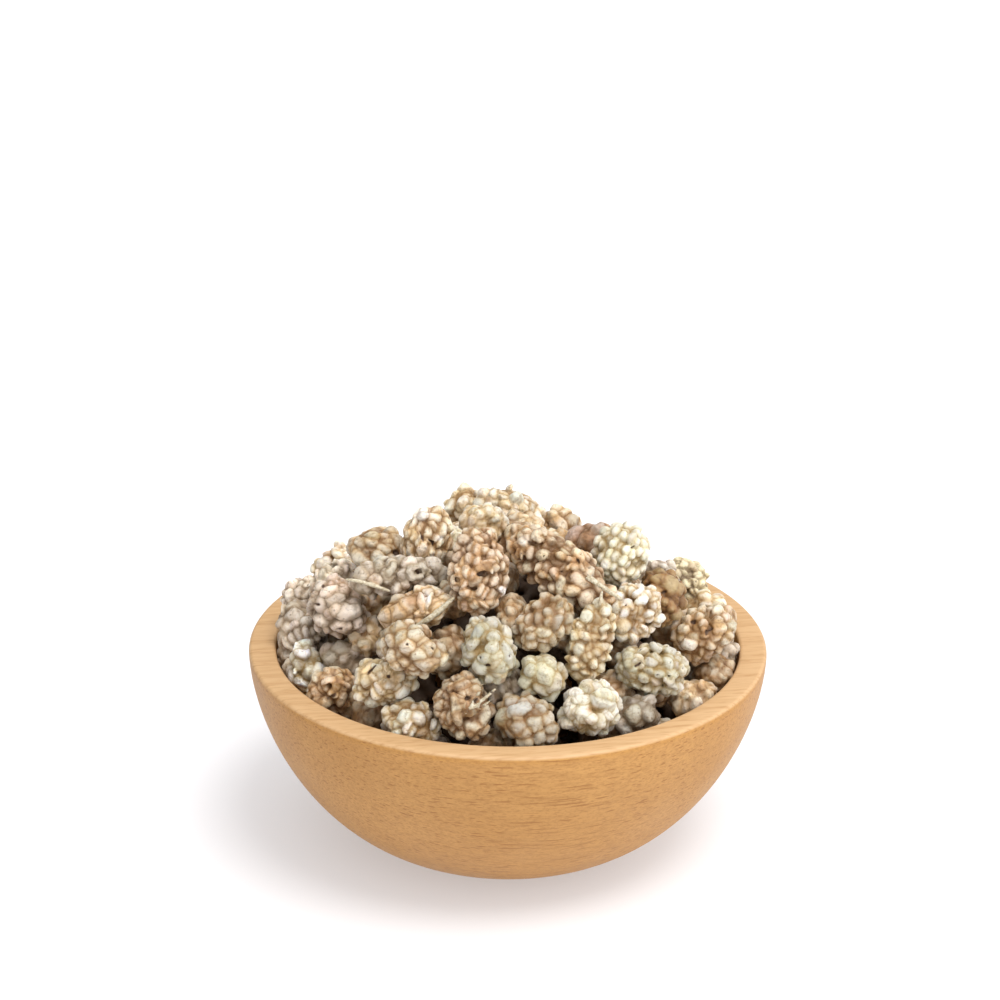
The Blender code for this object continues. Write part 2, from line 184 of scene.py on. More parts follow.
# Mulberries that the photograph shows beneath the outer ones: where each shows, in pixels, its length and
# width in millimetres, and its lean. The ones against the wall lie no deeper than under, in millimetres
# below the rim.
Seen = namedtuple("Seen", "x y length width lean tone under", defaults=(99.0,))
SECOND = (
    Seen(350, 663, 13.0, 10.0, -30, "grey"), Seen(370, 634, 11.0, 9.0, 80, "tan"),
    Seen(374, 604, 10.0, 9.0, 20, "brown"), Seen(447, 652, 12.0, 9.5, 80, "brown"),
    Seen(664, 630, 11.0, 9.0, 85, "brown"), Seen(512, 624, 13.0, 9.5, 80, "brown"),
    Seen(611, 692, 10.0, 8.5, 0, "brown"), Seen(686, 699, 13.0, 9.5, 20, "brown"),
    Seen(706, 668, 12.0, 9.0, 45, "tan"), Seen(712, 648, 10.0, 8.5, 70, "grey"),
    Seen(372, 714, 10.0, 8.5, 20, "brown"), Seen(697, 666, 10.0, 9.0, 80, "grey"),
    Seen(516, 545, 11.0, 9.0, 80, "brown"), Seen(506, 690, 10.0, 8.5, 60, "grey"),
    Seen(484, 524, 11.0, 9.0, 0, "cream"), Seen(620, 738, 11.0, 8.5, 5, "brown"),
    Seen(494, 748, 11.0, 8.5, 0, "brown"), Seen(296, 622, 11.0, 8.5, 75, "grey", 2.0),
    Seen(296, 651, 10.5, 8.5, 95, "grey", 2.5), Seen(302, 682, 11.0, 8.5, 120, "grey", 3.0),
    Seen(719, 622, 10.0, 8.5, 95, "tan", 3.0), Seen(719, 650, 11.0, 8.5, 85, "grey", 3.0),
    Seen(712, 676, 11.0, 8.5, 60, "brown", 3.5), Seen(694, 700, 11.0, 8.5, 40, "tan", 4.0),
)
SECOND_SINK = 1.0
SECOND_WALL_GAP = 0.2
SIGHT_STEP = 0.1

# The mulberries that show in the other gaps, from the largest to the smallest
BENEATH_SEED = 99
BENEATH_COUNT = 40
BENEATH_SIZE = (15.0, 8.5)
BENEATH_SLIMNESS = 0.86
BENEATH_RISE = 0.45
BENEATH_SHOW = 1.6
BENEATH_SINK = 1.2
BENEATH_TONES = ("brown", "tan", "brown", "grey", "cream", "tan")
BENEATH_KNOBS = 46
BENEATH_SCATTER = 0.08
GAP_PLACES = 600
GAP_STEPS = 20
# An outer mulberry counts as three balls along it, for what lies in the gaps
BALL_PLACES = np.array([-0.62, 0.0, 0.62])
BALL_SIZES = np.array([0.72, 1.0, 0.72])

# The beaded mound beneath them all, coloured dark as painted shade
CORE_MIDDLE = 34.0
CORE_BEADS = 620
CORE_ROUNDS = 24
CORE_MARGIN = 3.2
CORE_RISE = 2.4
CORE_WIDTHS = (1.9, 2.6)
CORE_PAINTED_SHADE = 0.9
CORE_SHADE_TINT = (0.7, 0.65, 0.6)


def rows(vectors):
    """Each row made one long."""
    vectors = np.asarray(vectors, float)
    return vectors / np.linalg.norm(vectors, axis=-1, keepdims=True)


def ripple(points, grain, draw):
    """Smooth noise from about -1 to 1 at each point, with lumps about grain apart, from a drawn place on."""
    seed = draw.uniform(*NOISE_SEEDS)
    offset = Vector([step * seed for step in NOISE_STEP])
    return np.array([noise.noise(Vector(point) / grain + offset) for point in points.tolist()])


def added(name, data):
    """An object in the scene for a mesh, a light or a camera."""
    made = bpy.data.objects.new(name, data)
    bpy.context.scene.collection.objects.link(made)
    return made


def store(mesh, name, values):
    """Keeps a number, or a colour, for each of the mesh's points, for its material to read."""
    values = np.asarray(values, np.float32)
    if values.ndim == 1:
        mesh.attributes.new(name, "FLOAT", "POINT").data.foreach_set("value", values)
    else:
        colours = np.column_stack([values, np.ones(len(values), np.float32)])
        mesh.attributes.new(name, "FLOAT_COLOR", "POINT").data.foreach_set("color", colours.ravel())


# Materials

class Nodes:
    """A node tree, built a node at a time. A value is a number, a colour or another node's output."""

    def __init__(self, tree):
        self.tree = tree

    def put(self, value, socket):
        if isinstance(value, bpy.types.NodeSocket):
            self.tree.links.new(value, socket)
        elif socket.type == "RGBA":
            socket.default_value = (*value, 1.0)
        else:
            socket.default_value = value

    def node(self, kind, inputs=(), **settings):
        """A new node's outputs, with its settings and its inputs set."""
        made = self.tree.nodes.new(kind)
        for name, value in settings.items():
            setattr(made, name, value)
        for name, value in dict(inputs).items():
            self.put(value, made.inputs[name])
        return made.outputs


class Finish(Nodes):
    """A material's nodes."""

    def __init__(self, name):
        self.material = bpy.data.materials.new(name)
        self.material.use_nodes = True
        super().__init__(self.material.node_tree)

    def set(self, **values):
        """Sets the shader's sockets, named with underscores for spaces."""
        shader = self.tree.nodes["Principled BSDF"]
        for name, value in values.items():
            self.put(value, shader.inputs[name.replace("_", " ")])

    def attribute(self, name, output="Fac"):
        return self.node("ShaderNodeAttribute", attribute_name=name)[output]

    def place(self, scale=(1.0, 1.0, 1.0), turn=0.0):
        """The point on the object, in metres, seen along axes turned about Z, then scaled."""
        inputs = {
            "Vector": self.node("ShaderNodeTexCoord")["Object"],
            "Scale": [1.0 / share for share in scale],
            "Rotation": (0.0, 0.0, turn),
        }
        return self.node("ShaderNodeMapping", inputs, vector_type="TEXTURE")["Vector"]

    def slid(self, place, amount):
        """The place moved along its first axis by an amount, so that cells don't stand in rows."""
        offset = self.node("ShaderNodeCombineXYZ", {"X": amount})["Vector"]
        return self.node("ShaderNodeVectorMath", {0: place, 1: offset}, operation="ADD")["Vector"]

    def height(self):
        """How high the point is, in metres."""
        return self.node("ShaderNodeSeparateXYZ", {0: self.node("ShaderNodeTexCoord")["Object"]})["Z"]

    def noise(self, place, scale, detail=2.0, roughness=0.5, distortion=0.0):
        inputs = {"Scale": scale, "Detail": detail, "Roughness": roughness, "Distortion": distortion}
        return self.node("ShaderNodeTexNoise", {"Vector": place, **inputs})["Fac"]

    def cells(self, place, scale):
        """The distance from the nearest of scattered points, and a number of that point's own."""
        made = self.node("ShaderNodeTexVoronoi", {"Vector": place, "Scale": scale})
        return made["Distance"], self.node("ShaderNodeSeparateColor", {0: made["Color"]})[0]

    def math(self, operation, first, second, clamp=False):
        inputs = {0: first, 1: second}
        return self.node("ShaderNodeMath", inputs, operation=operation, use_clamp=clamp)[0]

    def fade(self, value, start, end, low=0.0, high=1.0):
        """Goes smoothly from low to high as value goes from start to end."""
        inputs = {"Value": value, "From Min": start, "From Max": end, "To Min": low, "To Max": high}
        return self.node("ShaderNodeMapRange", inputs, interpolation_type="SMOOTHSTEP")["Result"]

    def mix(self, share, first, second, blend="MIX"):
        """One colour over another. A mix node keeps its colours at inputs 6 and 7, and at output 2."""
        inputs = {0: share, 6: first, 7: second}
        return self.node("ShaderNodeMix", inputs, data_type="RGBA", blend_type=blend)[2]

    def bump(self, height, strength, distance, **under):
        inputs = {"Height": height, "Strength": strength, "Distance": distance, **under}
        return self.node("ShaderNodeBump", inputs)["Normal"]


def tinted(colour, tint):
    return tuple(part * share for part, share in zip(colour, tint))


# How a tone of mulberry looks: pale is its drupelets' tops against its own colour, flank their golden sides,
# crease the colour between them, and bloom how much chalky sugar lies on it. The golden sides and the
# browner creases are partly the fruit's own colour and partly painted shade.
Tone = namedtuple("Tone", "pale flank crease bloom roughness")
TONES = {
    "white": Tone((1.12, 1.15, 1.20), (0.98, 0.96, 0.80), (0.44, 0.31, 0.14), 0.55, 0.54),
    "cream": Tone((1.30, 1.56, 2.00), (1.04, 0.97, 0.78), (0.42, 0.28, 0.13), 0.30, 0.46),
    "tan": Tone((1.46, 1.86, 2.56), (1.09, 1.02, 0.86), (0.41, 0.28, 0.15), 0.25, 0.44),
    "brown": Tone((1.71, 2.40, 3.70), (1.14, 1.08, 1.00), (0.38, 0.27, 0.16), 0.18, 0.40),
    "grey": Tone((1.60, 1.66, 1.77), (1.00, 0.92, 0.80), (0.34, 0.25, 0.16), 0.35, 0.54),
    "shade": Tone((1.10, 1.10, 1.10), (0.70, 0.62, 0.55), (0.30, 0.22, 0.15), 0.0, 0.56),
}
PORE_COLOUR = (0.085, 0.042, 0.020)
HUSK_COLOUR = (0.66, 0.60, 0.46)
HUSK_SHADE = (0.42, 0.34, 0.21)
CHALK_COLOUR = (0.82, 0.80, 0.74)
AMBER_COLOUR = (0.42, 0.20, 0.065)
# The fruit's noises: their scale in each metre, detail, roughness and distortion
MOTTLE = (420.0, 3.0, 0.6)
CLOUDS = (150.0, 2.0, 0.5)
VEINS = (750.0, 5.0, 0.72, 0.6)
FINE_GRAIN = (1900.0, 3.0, 0.65)
SUGAR = (300.0, 4.0, 0.7)
SPECK_SCALE = 900.0
# How strong a bump is, and how deep in metres
GRAIN_BUMP = (0.4, 0.0002)
VEIN_BUMP = (0.8, 0.0005)
FLECK_BUMP = (0.12, 0.0001)
LIGHT_REACH = 0.0007


def fruit_material(tone, colour):
    """Waxy dried fruit, paler on each drupelet's top, browner in the creases, and dark in the pores. The
    golden sides and brown creases are partly the fruit's own colour and partly painted shade; the browning
    of deep places is painted shade.
    """
    look = TONES[tone]
    made = Finish(f"dried_mulberry_{tone}")
    place = made.place()
    crease = made.attribute("crease")
    depth = made.attribute("depth")
    flank = made.attribute("flank")
    mottle = made.noise(place, *MOTTLE)
    cloud = made.noise(place, *CLOUDS)
    veins = made.noise(place, *VEINS)
    grain = made.noise(place, *FINE_GRAIN)
    brown = tinted(colour, look.crease)

    mottled = made.fade(mottle, 0.42, 0.70, 0.0, 0.35)
    golden = made.math("ADD", made.math("MULTIPLY", made.attribute("variety"), 0.35), mottled)
    # The golden share grows towards the creases: partly the drupelets' own golden sides, partly painted
    # shade.
    golden = made.math("ADD", golden, made.fade(flank, 0.20, 0.85, 0.0, 0.68), True)
    drupelet = made.mix(golden, tinted(colour, look.pale), tinted(colour, look.flank))
    drupelet = made.mix(made.fade(cloud, 0.56, 0.74, 0.0, 0.35), drupelet, AMBER_COLOUR)
    patchy = made.fade(mottle, 0.35, 0.62, 0.4, 1.0)
    vein = made.math("MULTIPLY", made.fade(veins, 0.50, 0.66, 0.0, 0.62), patchy)
    drupelet = made.mix(vein, drupelet, brown)
    speck, kind = made.cells(place, SPECK_SCALE)
    speck = made.math("MULTIPLY", made.fade(speck, 0.26, 0.12), made.fade(kind, 0.72, 0.8, 0.0, 0.6))
    drupelet = made.mix(speck, drupelet, brown)

    chalk = made.math("MULTIPLY", made.fade(made.noise(place, *SUGAR), 0.45, 0.68), look.bloom)
    chalk = made.math("MULTIPLY", chalk, made.fade(flank, 0.7, 0.2))
    chalk = made.math("ADD", chalk, made.attribute("chalk"), True)
    drupelet = made.mix(chalk, drupelet, CHALK_COLOUR)
    drupelet = made.mix(1.0, drupelet, made.attribute("tint", "Color"), "MULTIPLY")
    drupelet = made.mix(made.attribute("amber"), drupelet, AMBER_COLOUR)

    # The creases and the deep places brown towards the crease colour: partly the fruit's own amber creases,
    # partly painted shade.
    deep = made.fade(depth, 0.22, 0.9, 0.0, 0.78)
    crease_colour_and_shade = made.math("ADD", made.fade(crease, 0.2, 1.0, 0.0, 0.62), deep, True)
    crease_colour_and_shade = made.math("MULTIPLY", crease_colour_and_shade, made.fade(mottle, 0.2, 0.6, 0.7, 1.0))
    skin = made.mix(crease_colour_and_shade, drupelet, brown)
    husk = made.mix(made.fade(grain, 0.35, 0.65), HUSK_COLOUR, HUSK_SHADE)
    skin = made.mix(made.attribute("husk"), skin, husk)
    skin = made.mix(made.fade(made.attribute("pore"), 0.25, 0.8), skin, PORE_COLOUR)
    made.set(
        Base_Color=skin,
        Roughness=made.fade(mottle, 0.3, 0.7, look.roughness - 0.1, look.roughness + 0.12),
        Subsurface_Weight=0.22,
        Subsurface_Radius=(1.0, 0.75, 0.5),
        Subsurface_Scale=LIGHT_REACH,
        Specular_IOR_Level=0.5,
        Normal=made.bump(grain, *GRAIN_BUMP, Normal=made.bump(veins, *VEIN_BUMP)),
    )
    return made.material


GRAIN_TURN = math.radians(9)
WALL_TINT = (0.85, 0.81, 0.66)
BAND_TINT = (0.78, 0.71, 0.53)
CLOUD_TINT = (0.89, 0.85, 0.69)
RIM_TINT = (0.92, 1.06, 1.40)
RIM_LINE_TINT = (0.72, 0.74, 0.82)
GRAIN_TINT = (0.65, 0.59, 0.46)
STREAK_TINT = (0.48, 0.36, 0.22)
SPECK_TINT = (0.56, 0.47, 0.34)
EDGE_TINT = (0.80, 0.72, 0.42)
# The wood's noises: their scale in each metre, along the grain first, detail and roughness
SLIDE = ((12.0, 260.0, 420.0), 1.0, 0.5)
PORES = ((200.0, 1500.0, 1900.0), 2.0, 0.5)
SPECKS = ((1000.0, 2100.0, 2400.0), 2.0, 0.65)
GRAIN = ((45.0, 900.0, 900.0), 3.0, 0.6)
BANDS = ((6.0, 60.0, 90.0), 3.0, 0.6)
FLECK_SCALE = (75.0, 700.0, 1700.0)
DASH_SCALE = (220.0, 1000.0, 2300.0)
SLIDE_REACH = 7.0
WAVER_SCALE = 40.0
CLOUD_SCALE = 25.0
# How far below the rim, in millimetres, its golden edge and its paler top begin and are full
EDGE_FADE = (2.2, 1.1)
RIM_FADE = (0.9, 0.25)


def beech_material(colour):
    """Oiled beech, its grain nearly along X: dark ray flecks, cut across to specks at the bowl's ends."""
    made = Finish("beech")

    def along_grain(scale, detail, roughness):
        return made.noise(made.place(scale, GRAIN_TURN), 1.0, detail, roughness)

    def below_rim(start, end):
        return made.fade(made.height(), (bowl_height - start) * MM, (bowl_height - end) * MM)

    def flecks(scale, size, kinds):
        """Lens-shaped cells along the grain, and only those whose own number is past kinds."""
        distance, kind = made.cells(made.slid(made.place(scale, GRAIN_TURN), slide), 1.0)
        return made.math("MULTIPLY", made.fade(distance, *size), made.fade(kind, *kinds))

    waver = made.noise(made.place(), WAVER_SCALE)
    cloud = made.noise(made.place(), CLOUD_SCALE)
    slide = made.math("MULTIPLY", along_grain(*SLIDE), SLIDE_REACH)
    fleck = flecks(FLECK_SCALE, (0.38, 0.22), (0.50, 0.60))
    dash = flecks(DASH_SCALE, (0.38, 0.20), (0.35, 0.50))
    pores = along_grain(*PORES)
    grain = along_grain(*GRAIN)
    bands = made.fade(along_grain(*BANDS), 0.3, 0.7)
    layers = (
        (bands, BAND_TINT),
        (made.fade(cloud, 0.35, 0.65, 0.0, 0.5), CLOUD_TINT),
        (made.math("MULTIPLY", below_rim(*EDGE_FADE), 0.55), EDGE_TINT),
        (made.fade(grain, 0.42, 0.62, 0.0, 0.35), GRAIN_TINT),
        (made.fade(along_grain(*SPECKS), 0.46, 0.66, 0.0, 0.50), SPECK_TINT),
        (made.fade(pores, 0.56, 0.70, 0.0, 0.25), STREAK_TINT),
        (made.math("MULTIPLY", dash, 0.40), STREAK_TINT),
        (made.math("MULTIPLY", fleck, 0.75), STREAK_TINT),
    )
    wood = tinted(colour, WALL_TINT)
    for share, tint in layers:
        wood = made.mix(share, wood, tinted(colour, tint))
    fine_lines = made.fade(pores, 0.5, 0.7, 0.0, 0.5)
    lines = made.math("ADD", made.fade(grain, 0.42, 0.66, 0.0, 0.5), fine_lines, True)
    rim = made.mix(lines, tinted(colour, RIM_TINT), tinted(colour, RIM_LINE_TINT))
    made.set(
        Base_Color=made.mix(below_rim(*RIM_FADE), wood, rim),
        Roughness=made.fade(waver, 0.3, 0.7, 0.46, 0.56),
        Specular_IOR_Level=0.35,
        Normal=made.bump(made.math("SUBTRACT", 1.0, fleck), *FLECK_BUMP),
    )
    return made.material


# The bowl

def wall_curve(rings, rim, low, high):
    """(radius, height) points up a wall that leaves the flat foot level and reaches the rim upright."""
    for turn in np.linspace(0.0, math.pi / 2, rings):
        radius = FOOT_RADIUS + (rim - FOOT_RADIUS) * math.sin(turn)
        yield radius, high - (high - low) * math.cos(turn) ** OUTER_POWER


def corner(radius, height, start):
    """(radius, height) points round a rim edge, about its own centre, a quarter turn down from start."""
    for turn in np.linspace(start, start - math.pi / 2, EDGE_POINTS):
        yield radius + EDGE_ROUND * math.cos(turn), height + EDGE_ROUND * math.sin(turn)


def bowl_profile(rim, height):
    """The bowl's half section, from the middle of its floor, up the inside and down the outside."""
    shoulder = height - EDGE_ROUND
    inner = rim - WALL
    inside = list(wall_curve(WALL_RINGS, inner, FLOOR, shoulder))
    outside = list(wall_curve(WALL_RINGS, rim, 0.0, shoulder))
    points = [(0.0, FLOOR), *inside[:-1]]
    points += corner(inner + EDGE_ROUND, shoulder, math.pi)
    points += corner(rim - EDGE_ROUND, shoulder, math.pi / 2)
    points += [*reversed(outside[:-1]), (0.0, 0.0)]
    return points


def make_bowl(rim, height, finish):
    """The bowl, turned from its half section round the Z axis."""
    mesh = bpy.data.meshes.new("beech_bowl")
    profile = [(radius * MM, 0.0, up * MM) for radius, up in bowl_profile(rim, height)]
    mesh.from_pydata(profile, [(n, n + 1) for n in range(len(profile) - 1)], [])
    bowl = added("beech_bowl", mesh)
    turned = bowl.modifiers.new("turned", "SCREW")
    turned.axis = "Z"
    turned.steps = turned.render_steps = BOWL_SIDES
    turned.use_merge_vertices = True
    turned.merge_threshold = MERGE_REACH
    turned.use_normal_calculate = True
    graph = bpy.context.evaluated_depsgraph_get()
    bowl.data = bpy.data.meshes.new_from_object(bowl.evaluated_get(graph))
    bowl.modifiers.clear()
    bowl.data.shade_smooth()
    bowl.data.materials.append(finish)
    return bowl


# Mulberries

# A mulberry's middle, its axes as rows with the long one first, and the half of its size along each
Ovoid = namedtuple("Ovoid", "centre axes radii")
# Drupelets and other rounded bits, as arrays: where each is, its axes as rows, its size along each, and what
# it belongs to. kind is 0 for a drupelet, 1 for husk or stalk and 2 for flesh.
Beads = namedtuple("Beads", "centres axes radii groups kinds")

# What the photograph shows on a mulberry. right and up are from its middle, in the picture's pixels, and
# lean is in degrees anticlockwise from level. A Bead is a drupelet of its own, with its half sizes; a Hole
# is dark and sunken; a Patch colours what is there; a Curl is a lip that runs from one angle to another
# round a middle; a Straw is a stalk or strand along (right, up, lift) points; a Frill is a ring of folds
# that point at its middle.
Bead = namedtuple("Bead", "right up long wide lean proud", defaults=(0.0, 0.2))
Hole = namedtuple("Hole", "right up long wide lean deep", defaults=(0.0, 0.9))
Patch = namedtuple("Patch", "right up long wide share kind", defaults=("amber",))
Curl = namedtuple("Curl", "right up size start end width", defaults=(1.1,))
Straw = namedtuple("Straw", "path width")
Frill = namedtuple("Frill", "right up size count width")

# How a mulberry is built: fine is the share of its hollows that hold a small drupelet of their own, coarse
# the share of its knobs left out, variety how much its drupelets differ in size, rough how unevenly they
# stand, and ribs the share of them that stretch along it. tint is one number where it is the same for red,
# green and blue.
Look = namedtuple("Look", "fine coarse variety rough ribs pores amber chalk tint marks")
PLAIN = Look(
    fine=0.8, coarse=0.0, variety=0.38, rough=1.1, ribs=0.0, pores=0.04, amber=0.0, chalk=0.0, tint=1.0,
    marks=(),
)


def look(*marks, **changes):
    return PLAIN._replace(marks=marks, **changes)


